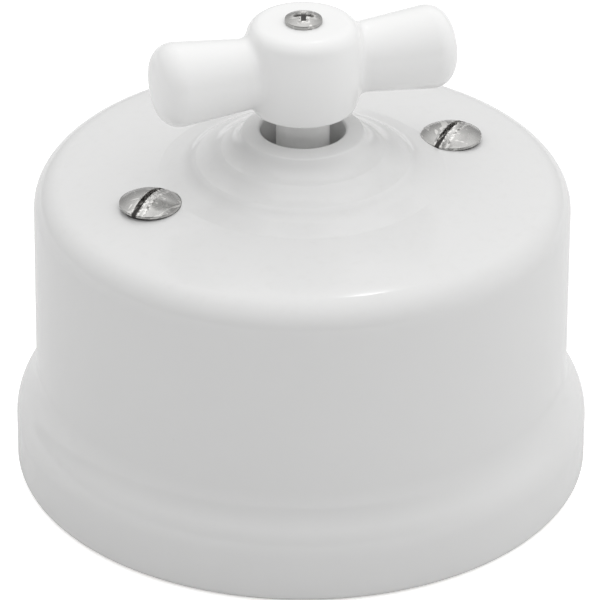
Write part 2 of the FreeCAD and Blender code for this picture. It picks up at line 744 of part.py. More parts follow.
def make_rivet(label, turned):
    """Rivet that joins leaf and block: its flat head lies on the leaf, towards the shaft."""
    body = new_body(label)
    section = [
        ("terminal_x", "-(%s - rivet_head_height)" % LEAF_FACE),
        ("terminal_x + rivet_head_face", "-(%s - rivet_head_height)" % LEAF_FACE),
        ("terminal_x + rivet_head_radius", "-" + LEAF_FACE),
        ("terminal_x + rivet_radius", "-" + LEAF_FACE),
        ("terminal_x + rivet_radius", "-(%s + leaf_thickness + rivet_grip)" % LEAF_FACE),
        ("terminal_x", "-(%s + leaf_thickness + rivet_grip)" % LEAF_FACE),
    ]
    sketch = outline(new_sketch(body, "section", "XY_Plane", CONTACT_MIDDLE), section)
    turn(body, upright_axis(sketch, "terminal_x"), "turned", axis="Axis0")
    set_place(body, turned=turned)
    return body


def make_contact_tip(label, turned):
    """Silver contact stud in the leaf's free end, facing the moving contact's circle."""
    body = new_body(label)
    face = "-(%s - contact_tip_height)" % LEAF_FACE
    section = [
        ("0", face),
        ("contact_tip_face", face),
        ("contact_tip_radius", "-(%s - contact_tip_side)" % LEAF_FACE),
        ("contact_tip_radius", "-" + LEAF_FACE),
        ("contact_stem_radius", "-" + LEAF_FACE),
        ("contact_stem_radius", "-(%s + leaf_thickness)" % LEAF_FACE),
        ("0", "-(%s + leaf_thickness)" % LEAF_FACE),
    ]
    turn(body, outline(new_sketch(body, "section", "XY_Plane", CONTACT_MIDDLE), section), "turned")
    set_place(body, turned=turned)
    return body


def make_pillar(label, sign):
    """Brass pillar on the bridge's foot, tapped at both ends."""
    body = new_body(label)
    length = "(cover_ceiling - base_height - bridge_thickness)"
    rod = new_sketch(body, "rod_outline", "XY_Plane")
    circle(rod, "0", "0", "pillar_radius")
    pad(body, rod, "rod", length)
    soften_ring(body, "foot", "pillar_chamfer", "pillar_radius", "0", kind="Chamfer")
    soften_ring(body, "head", "pillar_chamfer", "pillar_radius", length, kind="Chamfer")
    top = new_sketch(body, "top_hole", "XY_Plane", length)
    circle(top, "0", "0", "cover_screw_radius + fit_gap")
    pocket(body, top, "top_tapped", "pillar_tap_depth")
    foot = new_sketch(body, "foot_hole", "XY_Plane")
    circle(foot, "0", "0", "base_screw_radius + fit_gap")
    pocket(body, foot, "foot_tapped", "base_screw_grip + thrust_gap", back=True)
    set_place(body, across=sign + "screw_circle", up="base_height + bridge_thickness")
    return body


def make_cover_screw(label, sign, turned):
    """Raised countersunk screw with one slot; its origin is on the cover's surface."""
    body = new_body(label)
    head = "cover_screw_head_radius"
    rim_low = "cover_screw_stand"
    rim_high = "(cover_screw_stand + cover_screw_rim_height)"
    crown = "(%s + cover_screw_dome)" % rim_high
    dome_curve = cap_radius(head, "cover_screw_dome")
    section = [
        ("0", "-cover_screw_reach"),
        ("cover_screw_radius", "-cover_screw_reach"),
        ("cover_screw_radius", "cover_screw_radius - cover_screw_head_radius"),
        (head, "0"),
        (head, rim_high),
        ("0", crown),
    ]
    turn(body, outline(new_sketch(body, "section", "XZ_Plane"), section, {4: (dome_curve, True)}), "turned")
    soften_ring(body, "rim", "cover_screw_rim_round", head, rim_high)
    slot = new_sketch(body, "slot_outline", "XY_Plane", crown)
    rectangle(slot, "-" + head, "-cover_screw_slot / 2", head, "cover_screw_slot / 2")
    pocket(body, slot, "slot", "cover_screw_slot_depth")
    set_place(body, across=sign + "screw_circle", up=SCREW_SEAT, turned=turned)
    return body


def make_base_screw(label, across, along, grip):
    """Cheese-head screw from under the base."""
    body = new_body(label)
    head_low = "-base_screw_head_height"
    end = "(base_height - base_recess_depth + %s)" % grip
    section = [
        ("0", head_low),
        ("base_screw_head_radius", head_low),
        ("base_screw_head_radius", "0"),
        ("base_screw_radius", "0"),
        ("base_screw_radius", end),
        ("0", end),
    ]
    turn(body, outline(new_sketch(body, "section", "XZ_Plane"), section), "turned")
    soften_ring(body, "rim", "screw_head_edge", "base_screw_head_radius", head_low, kind="Chamfer")
    slot = new_sketch(body, "slot_outline", "XY_Plane", head_low)
    rectangle(slot, "-base_screw_head_radius", "-screw_slot / 2", "base_screw_head_radius", "screw_slot / 2")
    pocket(body, slot, "slot", "screw_slot_depth", back=True)
    set_place(body, across=across, along=along, up="base_recess_depth")
    return body


def make_clamp_screw(label, turned):
    """Slotted terminal screw; its end stands over the wire's way."""
    body = new_body(label)
    end = "(wire_hole_height + wire_hole_radius / 2 - terminal_height)"
    section = [
        ("0", end),
        ("clamp_screw_radius", end),
        ("clamp_screw_radius", "0"),
        ("clamp_head_radius", "0"),
        ("clamp_head_radius", "clamp_head_height"),
        ("0", "clamp_head_height"),
    ]
    turn(body, outline(new_sketch(body, "section", "XZ_Plane"), section), "turned")
    soften_ring(body, "rim", "screw_head_edge", "clamp_head_radius", "clamp_head_height")
    slot = new_sketch(body, "slot_outline", "XY_Plane", "clamp_head_height")
    rectangle(slot, "-clamp_head_radius", "-screw_slot / 2", "clamp_head_radius", "screw_slot / 2")
    pocket(body, slot, "slot", "screw_slot_depth")
    sign = "-" if turned == "180" else ""
    other = "" if turned == "180" else "-"
    set_place(body, across=sign + "terminal_x", along=other + TERMINAL_MIDDLE,
              up="base_height + terminal_height", turned=turned)
    return body


def make_handle():
    """Porcelain T-handle: a round hub with a flared arm on each side, in one piece.

    Its own origin is where the arms' axis meets the turning axis."""
    body = new_body("handle")
    bottom = "(hub_bottom - handle_height)"
    side = "(hub_shoulder_height - handle_height)"
    top = "(hub_top - handle_height)"
    widest = "(hub_bottom - handle_height + hub_lower_rise)"
    hub = [
        ("0", bottom),
        ("hub_rim_radius", bottom),
        ("hub_radius", widest),
        ("hub_shoulder_radius", side),
        ("hub_top_radius", top),
        ("0", top),
    ]
    curves = {1: ("hub_lower_curve", True), 2: ("hub_upper_curve", True), 3: ("hub_top_curve", True)}
    turn(body, outline(new_sketch(body, "hub_section", "XZ_Plane"), hub, curves), "hub")
    tip = "(handle_reach - arm_tip_dome)"
    dome_curve = cap_radius("arm_tip_radius", "arm_tip_dome")
    arms = [
        ("-handle_reach", "0"),
        ("handle_reach", "0"),
        (tip, "arm_tip_radius"),
        ("hub_radius - arm_root_depth", "arm_waist_radius"),
        ("arm_root_depth - hub_radius", "arm_waist_radius"),
        ("-" + tip, "arm_tip_radius"),
    ]
    turn(body, outline(new_sketch(body, "arm_section", "XZ_Plane"), arms,
                       {1: (dome_curve, True), 5: (dome_curve, True)}), "arms", axis="H_Axis")
    tip_radius = worth("arm_tip_radius")
    soften(body, "tips", "arm_tip_round",
           lambda edge: isinstance(edge.Curve, Part.Circle) and abs(edge.Curve.Radius - tip_radius) < 1e-4)
    soften(body, "roots", "hub_arm_blend", is_free_curve)
    soften_ring(body, "rim", "hub_rim_round", "hub_rim_radius", bottom)
    seat = new_sketch(body, "seat_outline", "XY_Plane", top)
    circle(seat, "0", "0", "hub_seat_radius")
    pocket(body, seat, "screw_seat", "hub_top - hub_seat_height")
    hole = new_sketch(body, "hole_outline", "XY_Plane", top)
    circle(hole, "0", "0", "handle_screw_radius + thrust_gap")
    pocket(body, hole, "screw_hole", "hub_top - tenon_top")
    square_hole(body, "tenon_width + 2 * fit_gap", "socket", bottom, "tenon_top - hub_bottom + thrust_gap")
    set_place(body, up="handle_height", turned="handle_turn")
    return body


def is_free_curve(edge):
    """Whether an edge is neither straight nor a circle, as where the arms run into the hub."""
    return not isinstance(edge.Curve, (Part.Circle, Part.Line))


def make_handle_screw():
    """Pan-head screw with a cross recess, down through the hub into the shaft."""
    body = new_body("handle_screw")
    head = "handle_screw_head_radius"
    height = "handle_screw_head_height"
    section = [
        ("0", "-handle_screw_reach"),
        ("handle_screw_radius - thrust_gap / 2", "-handle_screw_reach"),
        ("handle_screw_radius - thrust_gap / 2", "0"),
        (head, "0"),
        (head, "handle_screw_rim_height"),
        ("0", height),
    ]
    curve = cap_radius(head, "(%s - handle_screw_rim_height)" % height)
    turn(body, outline(new_sketch(body, "section", "XZ_Plane"), section, {4: (curve, True)}), "turned")
    soften_ring(body, "rim", "handle_screw_rim_round", head, "handle_screw_rim_height")
    cross = new_sketch(body, "cross_outline", "XY_Plane", height)
    arm = "handle_screw_cross_reach"
    half = "(handle_screw_cross_width / 2)"
    outline(cross, [(arm, "-" + half), (arm, half), (half, half), (half, arm), ("-" + half, arm),
                    ("-" + half, half), ("-" + arm, half), ("-" + arm, "-" + half), ("-" + half, "-" + half),
                    ("-" + half, "-" + arm), (half, "-" + arm), (half, "-" + half)])
    pocket(body, cross, "cross", "handle_screw_cross_depth")
    set_place(body, up="hub_seat_height", turned="handle_screw_turn")
    return body


SIDES = (("right", ""), ("left", "-"))
ENDS = (("front", "0"), ("rear", "180"))

nodes = [
    make_cover(),
    make_base(),
    make_bridge(),
    make_shaft(),
    make_carrier(),
    make_moving_contact(),
    make_cam(),
    make_washer(),
    make_clip(),
    make_handle(),
    make_handle_screw(),
]
nodes += [make_detent_spring("detent_spring_" + end, turned) for end, turned in ENDS]
nodes += [make_terminal("terminal_" + end, turned) for end, turned in ENDS]
nodes += [make_leaf("contact_leaf_" + end, turned) for end, turned in ENDS]
nodes += [
    group("leaf_rivets", [make_rivet("leaf_rivet_" + end, turned) for end, turned in ENDS]),
    group("contact_tips", [make_contact_tip("contact_tip_" + end, turned) for end, turned in ENDS]),
    group("clamp_screws", [make_clamp_screw("clamp_screw_" + end, turned) for end, turned in ENDS]),
    group("pillars", [make_pillar("pillar_" + side, sign) for side, sign in SIDES]),
    group("cover_screws", [make_cover_screw("cover_screw_" + side, sign, "cover_screw_turn")
                           for side, sign in SIDES]),
    group("pillar_screws", [make_base_screw("pillar_screw_" + side, sign + "screw_circle", "0",
                                            "bridge_thickness + base_screw_grip")
                            for side, sign in SIDES]),
    group("terminal_screws", [
        make_base_screw("terminal_screw_front", "terminal_x", "-" + TERMINAL_MIDDLE, "block_screw_grip"),
        make_base_screw("terminal_screw_rear", "-terminal_x", TERMINAL_MIDDLE, "block_screw_grip"),
    ]),
]

doc.recompute()
for item in doc.Objects:
    if "Invalid" in item.State or "Error" in item.State:
        raise RuntimeError("%s is not built: %s" % (item.Label, item.State))
for node in nodes:
    if node.Shape.isNull() or not node.Shape.isValid():
        raise RuntimeError("%s has no valid shape" % node.Label)

os.makedirs("parts", exist_ok=True)
for node in nodes:
    node.Shape.exportStep(os.path.join("parts", node.Label + ".step"))
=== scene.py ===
import json
import math
import random

import bmesh
import bpy
from mathutils import Matrix, Vector

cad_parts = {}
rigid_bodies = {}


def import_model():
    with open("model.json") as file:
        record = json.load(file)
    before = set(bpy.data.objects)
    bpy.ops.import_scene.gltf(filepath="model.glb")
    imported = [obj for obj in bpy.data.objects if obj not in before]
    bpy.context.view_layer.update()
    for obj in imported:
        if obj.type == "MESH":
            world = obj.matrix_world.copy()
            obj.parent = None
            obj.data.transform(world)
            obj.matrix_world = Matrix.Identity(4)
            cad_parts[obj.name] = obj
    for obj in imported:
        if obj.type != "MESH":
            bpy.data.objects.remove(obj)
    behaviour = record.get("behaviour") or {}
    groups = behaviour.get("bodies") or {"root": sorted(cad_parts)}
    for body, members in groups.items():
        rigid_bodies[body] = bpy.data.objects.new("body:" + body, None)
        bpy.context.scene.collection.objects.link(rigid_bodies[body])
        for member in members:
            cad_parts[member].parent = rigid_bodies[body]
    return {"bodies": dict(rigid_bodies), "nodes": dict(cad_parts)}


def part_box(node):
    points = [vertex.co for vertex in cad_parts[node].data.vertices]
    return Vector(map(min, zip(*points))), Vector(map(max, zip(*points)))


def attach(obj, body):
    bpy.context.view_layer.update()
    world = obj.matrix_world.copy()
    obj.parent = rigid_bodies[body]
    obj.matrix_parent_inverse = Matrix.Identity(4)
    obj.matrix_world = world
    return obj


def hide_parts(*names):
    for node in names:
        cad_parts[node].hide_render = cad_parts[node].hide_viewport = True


bl_info = {
    "name": "Porcelain rotary switch",
    "version": (1, 0, 0),
    "blender": (4, 5, 0),
    "location": "View3D > Sidebar > Switch",
    "description": "Builds the visible pieces of a porcelain rotary switch and gives all pieces their finish",
    "category": "Object",
}

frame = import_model()

MM = 0.001

# Brightness of the light tent: everywhere, then what is added overhead, at the sides, behind and in front
SKY_BASE = 0.08
SKY_TOP = 1.36
SKY_RIGHT = 0.95
SKY_LEFT = 0.25
SKY_BACK = 0.355
SKY_FRONT = 0.04
# Small lamp for the glint on the glaze, with its way given as shares to the right, to the back and up
LAMP_WAY = (0.07, 0.66, 0.75)
LAMP_DISTANCE = 1.2
LAMP_SIZE = 0.03
LAMP_POWER = 0.10
CAMERA_SHIFT = -0.0021

DOME_POINTS = 12
SHARP_EDGE = math.radians(35)


# Settings that a user would change

def length(name, description, millimetres):
    """A length, given in millimetres."""
    return bpy.props.FloatProperty(name=name, description=description, default=millimetres * MM,
                                   min=0.0, max=100 * MM, unit="LENGTH", precision=5)


def angle(name, description, degrees):
    """An angle, given in degrees."""
    return bpy.props.FloatProperty(name=name, description=description, default=math.radians(degrees),
                                   unit="ROTATION")


def tint(name, description, red, green, blue):
    """A colour, given as linear shares."""
    return bpy.props.FloatVectorProperty(name=name, description=description, subtype="COLOR",
                                         default=(red, green, blue), min=0.0, max=1.0)


class GlazeSettings(bpy.types.PropertyGroup):
    """Colour and gloss of the glazed porcelain."""

    colour: tint("Glaze colour", "Colour of the white glaze", 0.79, 0.79, 0.787)
    bisque_colour: tint("Bare clay colour", "Colour of the unglazed foot", 0.70, 0.665, 0.60)
    roughness: bpy.props.FloatProperty(
        name="Glaze roughness", description="How much the glaze blurs what it mirrors",
        default=0.09, min=0.0, max=1.0, subtype="FACTOR")
    waviness: length("Waviness", "Height of the slow waves in the glaze", 0.012)


class CoverSettings(bpy.types.PropertyGroup):
    """Section of the cover's casting, from the flange up to the lip round the shaft."""

    wall: length("Wall", "Thickness of the wall", 3.7)
    flange_height: length("Flange height", "Height of the flange's corner", 7.93)
    flange_step: length("Flange step", "How far the flange stands out from the drum", 2.5)
    drum_draft: length("Drum draft", "How far the drum draws in up to its top", 0.14)
    drum_height: length("Drum height", "Height of the drum's top corner", 37.82)
    flange_round: length("Flange rounding", "Radius of the flange's shoulder", 5.6)
    cove_round: length("Cove rounding", "Radius of the hollow over the flange", 7.6)
    crown_round: length("Crown rounding", "Radius of the drum's top edge", 3.6)
    rim_round: length("Rim rounding", "Radius of the edge at the wall", 1.0)
    crown_wall: length("Crown wall", "From the drum's top corner down to the ceiling", 3.42)
    boss_radius: length("Boss radius", "Where the boss rises from the crown", 17.2)
    apron_radius: length("Apron radius", "The boss's outermost ridge", 15.0)
    ring_radius: length("Ring radius", "The boss's middle ridge", 12.85)
    collar_radius: length("Collar radius", "The boss's innermost ridge", 9.85)
    lip_radius: length("Lip radius", "Foot of the lip round the bore", 7.7)
    bore_radius: length("Bore radius", "Bore that the shaft comes through", 5.1)
    boss_height: length("Boss height", "How far the lip stands above the boss's foot", 5.72)
    crown_slope: angle("Crown slope", "Rise of the crown towards the boss", 5.5)
    cavity_radius: length("Cavity radius", "Cavity under the boss, over the ceiling", 11.0)
    cavity_rise: length("Cavity rise", "From the ceiling up to the cavity's top", 3.2)
    rebate_height: length("Rebate height", "Height of the rebate that takes the base", 7.7)
    seat_radius: length("Screw seat", "Radius of the countersink for a cover screw", 3.75)
    screw_hole: length("Screw hole", "Radius of the hole for a cover screw", 2.3)


class HandleSettings(bpy.types.PropertyGroup):
    """Sizes of the T-handle's hub and arms."""

    turn: angle("Handle angle", "From the line through the cover screws to the arms", -7.0)
    hub_rim: length("Hub rim", "Radius of the hub's lower edge", 6.3)
    hub_shoulder: length("Hub shoulder", "Radius where the side turns in to the top", 6.8)
    hub_top: length("Hub top", "Radius of the hub's flat top", 5.0)
    hub_height: length("Hub height", "From the hub's lower edge to its top", 11.05)
    arm_rise: length("Arm rise", "From the hub's lower edge up to the arms' axis", 5.3)
    arm_waist: length("Arm waist", "Radius of the arms at the hub", 4.15)
    arm_tip: length("Arm tip", "Radius of the arms near their ends", 5.1)
    arm_reach: length("Arm reach", "From the turning axis to an arm's end", 18.7)
    root_blend: length("Root blend", "How far round the roots the surface is smoothed", 1.3)
    socket_height: length("Socket height", "From the hub's lower edge to the top of the shaft's socket", 8.57)
    socket_width: length("Socket width", "Width of the square socket for the shaft", 4.5)
    screw_hole: length("Screw hole", "Radius of the hole for the handle screw", 1.35)


class ScrewSettings(bpy.types.PropertyGroup):
    """Sizes of the screws' finer forms, which the solids leave plain."""

    thread_depth: length("Thread depth", "How far the thread's root lies below its crest", 0.28)
    thread_pitch: length("Thread pitch", "Rise of the thread in one turn", 0.7)
    burr_height: length("Burr height", "Height of the metal that is thrown up along a slot", 0.07)
    cover_dome: length("Cover screw dome", "From a cover screw's rim up to its crown", 1.15)
    slot_width: length("Slot width", "Width of the cover screws' slots", 0.76)
    slot_depth: length("Slot depth", "Depth of the cover screws' slots below the crown", 0.85)
    slot_turn: angle("Slot angle", "From the line through both cover screws to their slots", 34.0)


class MetalSettings(bpy.types.PropertyGroup):
    """Colours of the metal and moulded pieces."""

    nickel: tint("Nickel plate", "Colour of the plated screws", 0.47, 0.466, 0.455)
    brass: tint("Brass", "Colour of terminals, pillars and moving contact", 0.78, 0.56, 0.25)
    bronze: tint("Spring bronze", "Colour of the fixed contact springs", 0.70, 0.42, 0.24)
    steel: tint("Steel", "Colour of bridge, washer, clip and detent springs", 0.50, 0.50, 0.50)
    silver: tint("Contact silver", "Colour of the contact studs", 0.82, 0.81, 0.78)
    shaft: tint("Shaft moulding", "Colour of the turning shaft", 0.90, 0.90, 0.89)
    carrier: tint("Carrier moulding", "Colour of the dark contact carrier", 0.055, 0.026, 0.015)
    cam: tint("Cam moulding", "Colour of the detent cam", 0.60, 0.55, 0.44)


class StageSettings(bpy.types.PropertyGroup):
    """Camera and light of the studio."""

    azimuth: angle("Camera azimuth", "Where the camera stands round the switch, from its front", -26.0)
    elevation: angle("Camera elevation", "Angle of the camera above the horizon", 29.871)
    roll: angle("Camera roll", "Lean of the picture", 0.362)
    distance: bpy.props.FloatProperty(
        name="Camera distance", description="From the camera to the point that it looks at",
        default=0.6098, min=0.1, unit="LENGTH")
    aim_height: length("Aim height", "Height on the turning axis that the camera looks at", 21.144)
    lens: bpy.props.FloatProperty(
        name="Focal length", description="Focal length for a sensor 36 mm wide",
        default=299.5, min=10.0, subtype="DISTANCE_CAMERA")
    floor_colour: tint("Floor colour", "Colour of the pale floor", 0.84, 0.84, 0.84)


GROUPS = {
    "switch_glaze": GlazeSettings,
    "switch_cover": CoverSettings,
    "switch_handle": HandleSettings,
    "switch_screws": ScrewSettings,
    "switch_metals": MetalSettings,
    "switch_stage": StageSettings,
}


# Node trees

def feed(tree, sockets, inputs):
    """Set inputs to numbers or link them to sockets; an underscore in a name stands for a space."""
    for label, value in inputs.items():
        socket = sockets[label if isinstance(label, int) else label.replace("_", " ")]
        if isinstance(value, bpy.types.NodeSocket):
            tree.links.new(value, socket)
        else:
            socket.default_value = value


def add_node(tree, kind, inputs=None, **settings):
    """A node with its settings and inputs."""
    node = tree.nodes.new(kind)
    for name, value in settings.items():
        setattr(node, name, value)
    feed(tree, node.inputs, inputs or {})
    return node


def maths(tree, operation, first, second=0.0, third=None, clamp=False):
    inputs = {0: first, 1: second}
    if third is not None:
        inputs[2] = third
    return add_node(tree, "ShaderNodeMath", inputs, operation=operation, use_clamp=clamp).outputs[0]


def ramp(tree, value, low, high, low_result=0.0, high_result=1.0):
    """The value taken smoothly from one range to another."""
    return add_node(tree, "ShaderNodeMapRange",
                    {"Value": value, "From Min": low, "From Max": high,
                     "To Min": low_result, "To Max": high_result},
                    interpolation_type="SMOOTHSTEP").outputs["Result"]


def blend_colours(tree, share, first, second, blend="MIX"):
    return add_node(tree, "ShaderNodeMix", {0: share, 6: first, 7: second},
                    data_type="RGBA", blend_type=blend, clamp_factor=True).outputs[2]


def rgba(colour, share=1.0):
    """The colour, or a share of it that stays under full white."""
    return (*(min(1.0, part * share) for part in colour), 1.0)


def noise(tree, where, scale, detail=3.0, roughness=0.5, stretch=None):
    if stretch:
        where = add_node(tree, "ShaderNodeMapping", {"Vector": where, "Scale": stretch}).outputs[0]
    inputs = {"Vector": where, "Scale": scale, "Detail": detail, "Roughness": roughness}
    return add_node(tree, "ShaderNodeTexNoise", inputs).outputs["Fac"]


def cells(tree, where, scale):
    """Cells of a scattered pattern: each one's colour, and the distance from its middle."""
    return add_node(tree, "ShaderNodeTexVoronoi", {"Vector": where, "Scale": scale}).outputs


def split(tree, colour):
    """The red, green and blue of a colour."""
    return add_node(tree, "ShaderNodeSeparateColor", {"Color": colour}).outputs


def height_of(tree, vector):
    return add_node(tree, "ShaderNodeSeparateXYZ", {"Vector": vector}).outputs["Z"]


def new_group(name, inputs, outputs):
    """An empty shader group with float or vector inputs, and its two ends."""
    group = bpy.data.node_groups.new(name, "ShaderNodeTree")
    kinds = {"float": "NodeSocketFloat", "vector": "NodeSocketVector"}
    for label, (kind, default) in inputs.items():
        socket = group.interface.new_socket(label, in_out="INPUT", socket_type=kinds[kind])
        if default is not None:
            socket.default_value = default
    for label, kind in outputs.items():
        group.interface.new_socket(label, in_out="OUTPUT", socket_type=kinds[kind])
    start = group.nodes.new("NodeGroupInput").outputs
    end = group.nodes.new("NodeGroupOutput").inputs
    return group, start, end


def make_glaze_group():
    """Slow waves, fine pitting and rare iron specks of a fired glaze."""
    group, start, end = new_group(
        "glaze_surface",
        {"Vector": ("vector", None), "Wave Scale": ("float", 150.0), "Speck Density": ("float", 0.035)},
        {"Height": "float", "Specks": "float", "Cloud": "float"})
    pit_scale = 900.0
    pit_depth = 0.12
    speck_scale = 420.0
    waves = noise(group, start["Vector"], start["Wave Scale"], 2.0)
    pits = cells(group, start["Vector"], pit_scale)["Distance"]
    pit_holes = ramp(group, pits, 0.10, 0.0)
    group.links.new(maths(group, "MULTIPLY_ADD", pit_holes, -pit_depth, waves), end["Height"])
    spots = cells(group, start["Vector"], speck_scale)
    chosen = maths(group, "LESS_THAN", split(group, spots["Color"])["Red"], start["Speck Density"])
    dots = ramp(group, spots["Distance"], 0.09, 0.03)
    group.links.new(maths(group, "MULTIPLY", chosen, dots), end["Specks"])
    group.links.new(noise(group, start["Vector"], 55.0, 4.0), end["Cloud"])
    return group


def make_scratch_group():
    """Fine crossing scratches and dull patches of handled metal."""
    group, start, end = new_group(
        "handled_metal",
        {"Vector": ("vector", None), "Scratch Scale": ("float", 900.0), "Amount": ("float", 0.5)},
        {"Scratches": "float", "Dullness": "float"})
    total = None
    for turn, narrow in ((0.3, 0.05), (1.25, 0.04), (2.2, 0.08)):
        turned = add_node(group, "ShaderNodeMapping",
                          {"Vector": start["Vector"], "Rotation": (0.4, 0.2, turn)})
        lines = noise(group, turned.outputs[0], start["Scratch Scale"], 1.0, 0.4, (1.0, narrow, 1.0))
        sharp = ramp(group, lines, 0.64, 0.72)
        total = sharp if total is None else maths(group, "MAXIMUM", total, sharp)
    group.links.new(maths(group, "MULTIPLY", total, start["Amount"]), end["Scratches"])
    patches = noise(group, start["Vector"], 420.0, 5.0, 0.6)
    group.links.new(ramp(group, patches, 0.42, 0.70), end["Dullness"])
    return group


def make_dust_group():
    """Faint settled dust, more on faces that look up."""
    group, start, end = new_group(
        "settled_dust",
        {"Vector": ("vector", None), "Amount": ("float", 0.2)},
        {"Dust": "float"})
    up = height_of(group, add_node(group, "ShaderNodeNewGeometry").outputs["Normal"])
    lint = ramp(group, noise(group, start["Vector"], 700.0, 6.0, 0.65), 0.48, 0.75)
    settled = maths(group, "MULTIPLY", lint, ramp(group, up, 0.2, 1.0))
    group.links.new(maths(group, "MULTIPLY", settled, start["Amount"]), end["Dust"])
    return group


SHARED = {}


def shared(name):
    """A shared group, made the first time that a material asks for it."""
    makers = {"glaze": make_glaze_group, "scratches": make_scratch_group, "dust": make_dust_group}
    if name not in SHARED:
        SHARED[name] = makers[name]()
    return SHARED[name]


def use_group(tree, name, **inputs):
    node = tree.nodes.new("ShaderNodeGroup")
    node.node_tree = shared(name)
    feed(tree, node.inputs, inputs)
    return node.outputs


def new_material(name):
    """A material with its tree, its surface shader and the object's own coordinates."""
    material = bpy.data.materials.new(name)
    material.use_nodes = True
    tree = material.node_tree
    shader = tree.nodes["Principled BSDF"]
    where = tree.nodes.new("ShaderNodeTexCoord").outputs["Object"]
    return material, tree, shader, where


def plug(tree, shader, **inputs):
    feed(tree, shader.inputs, inputs)


def bump(tree, height, distance, strength=1.0, normal=None):
    inputs = {"Height": height, "Distance": distance, "Strength": strength}
    if normal is not None:
        inputs["Normal"] = normal
    return add_node(tree, "ShaderNodeBump", inputs).outputs["Normal"]


def porcelain(name, speck_density):
    """White glazed porcelain, bare and rough where the foot stood in the kiln."""
    glaze = bpy.context.scene.switch_glaze
    iron = (0.34, 0.29, 0.24, 1.0)
    dust_grey = (0.62, 0.61, 0.59, 1.0)
    glaze_edge = 0.62 * MM
    glaze_end = 0.45 * MM
    edge_wander = 0.5 * MM
    clay_roughness = 0.85
    clay_grain = 0.06 * MM
    material, tree, shader, where = new_material(name)
    surface = use_group(tree, "glaze", Vector=where, Wave_Scale=150.0, Speck_Density=speck_density)
    dust = use_group(tree, "dust", Vector=where, Amount=0.10)["Dust"]
    grain = noise(tree, where, 2600.0, 4.0, 0.7)
    wander = noise(tree, where, 320.0, 3.0)
    edge_here = maths(tree, "MULTIPLY_ADD", wander, edge_wander, height_of(tree, where))
    bare = ramp(tree, edge_here, glaze_edge, glaze_end)
    white = blend_colours(tree, surface["Cloud"], rgba(glaze.colour), rgba(glaze.colour, 0.975))
    specked = blend_colours(tree, maths(tree, "MULTIPLY", surface["Specks"], 0.22), white, iron)
    dusty = blend_colours(tree, dust, specked, dust_grey)
    clay = blend_colours(tree, grain, rgba(glaze.bisque_colour, 0.8), rgba(glaze.bisque_colour))
    clouded = maths(tree, "MULTIPLY_ADD", surface["Cloud"], 0.05, glaze.roughness)
    roughness = maths(tree, "MULTIPLY_ADD", dust, 0.5, clouded)
    roughness = maths(tree, "MAXIMUM", roughness, maths(tree, "MULTIPLY", bare, clay_roughness))
    waves = bump(tree, surface["Height"], glaze.waviness)
    rough_clay = bump(tree, maths(tree, "MULTIPLY", grain, bare), clay_grain, normal=waves)
    plug(tree, shader, Base_Color=blend_colours(tree, bare, dusty, clay), Roughness=roughness,
         Normal=rough_clay, IOR=1.52, Specular_IOR_Level=0.5)
    return material


def plated_screw():
    """Dull nickel plate: bright and torn where a screwdriver has slipped, with painted shade that makes
    slots, recesses, the undersides of heads and threads near black.
    """
    metals = bpy.context.scene.switch_metals
    scratched = (0.80, 0.79, 0.77, 1.0)
    fresh_metal = (0.86, 0.85, 0.83, 1.0)
    torn_shadow = (0.16, 0.155, 0.15, 1.0)
    # Painted shade: near black for slots, recesses, the undersides of heads and threads
    painted_shade_black = (0.045, 0.042, 0.04, 1.0)
    mark_height = 0.02 * MM
    material, tree, shader, where = new_material("nickel_screw")
    marks = use_group(tree, "scratches", Vector=where, Scratch_Scale=1500.0, Amount=0.8)
    wear_and_shade = add_node(tree, "ShaderNodeAttribute", attribute_name="wear_and_shade", attribute_type="GEOMETRY")
    masks = split(tree, wear_and_shade.outputs["Color"])
    torn, painted_shade = masks["Red"], masks["Green"]
    mottled = noise(tree, where, 2400.0, 5.0, 0.7)
    plate = blend_colours(tree, marks["Dullness"], rgba(metals.nickel), rgba(metals.nickel, 0.86))
    plate = blend_colours(tree, marks["Scratches"], plate, scratched)
    torn_bright = maths(tree, "MULTIPLY", torn, ramp(tree, mottled, 0.36, 0.58))
    torn_dark = maths(tree, "MULTIPLY", torn, ramp(tree, mottled, 0.52, 0.40))
    colour = blend_colours(tree, torn_bright, plate, fresh_metal)
    colour = blend_colours(tree, torn_dark, colour, torn_shadow)
    # Painted shade: the shade mask darkens the plate to near black and takes away most of its metal
    colour = blend_colours(tree, painted_shade, colour, painted_shade_black)
    roughness = maths(tree, "MULTIPLY_ADD", marks["Scratches"], 0.18, 0.22)
    roughness = maths(tree, "MULTIPLY_ADD", marks["Dullness"], 0.10, roughness)
    roughness = maths(tree, "MULTIPLY_ADD", painted_shade, 0.4, roughness, clamp=True)
    metallic = maths(tree, "SUBTRACT", 1.0, maths(tree, "MULTIPLY", painted_shade, 0.7))
    height = maths(tree, "MULTIPLY_ADD", torn_bright, 1.2, maths(tree, "MULTIPLY", marks["Scratches"], -1.0))
    plug(tree, shader, Base_Color=colour, Roughness=roughness, Metallic=metallic,
         Normal=bump(tree, height, mark_height))
    return material


def turned_metal(name, colour, tarnish, roughness, grain_scale, stretch):
    """Bare machined or rolled metal, with tool lines, scratches and tarnish."""
    line_height = 0.008 * MM
    material, tree, shader, where = new_material(name)
    marks = use_group(tree, "scratches", Vector=where, Scratch_Scale=1100.0, Amount=0.5)
    lines = noise(tree, where, grain_scale, 2.0, 0.6, stretch)
    clouds = ramp(tree, noise(tree, where, 260.0, 5.0, 0.6), 0.40, 0.72)
    base = blend_colours(tree, clouds, rgba(colour), rgba(tarnish))
    lit = blend_colours(tree, maths(tree, "MULTIPLY", lines, 0.35), base, rgba(colour, 1.2))
    rough = maths(tree, "MULTIPLY_ADD", clouds, 0.16, maths(tree, "MULTIPLY_ADD", lines, 0.12, roughness))
    height = maths(tree, "MULTIPLY_ADD", marks["Scratches"], -0.6, lines)
    plug(tree, shader, Base_Color=lit, Roughness=rough, Metallic=1.0, Normal=bump(tree, height, line_height))
    return material


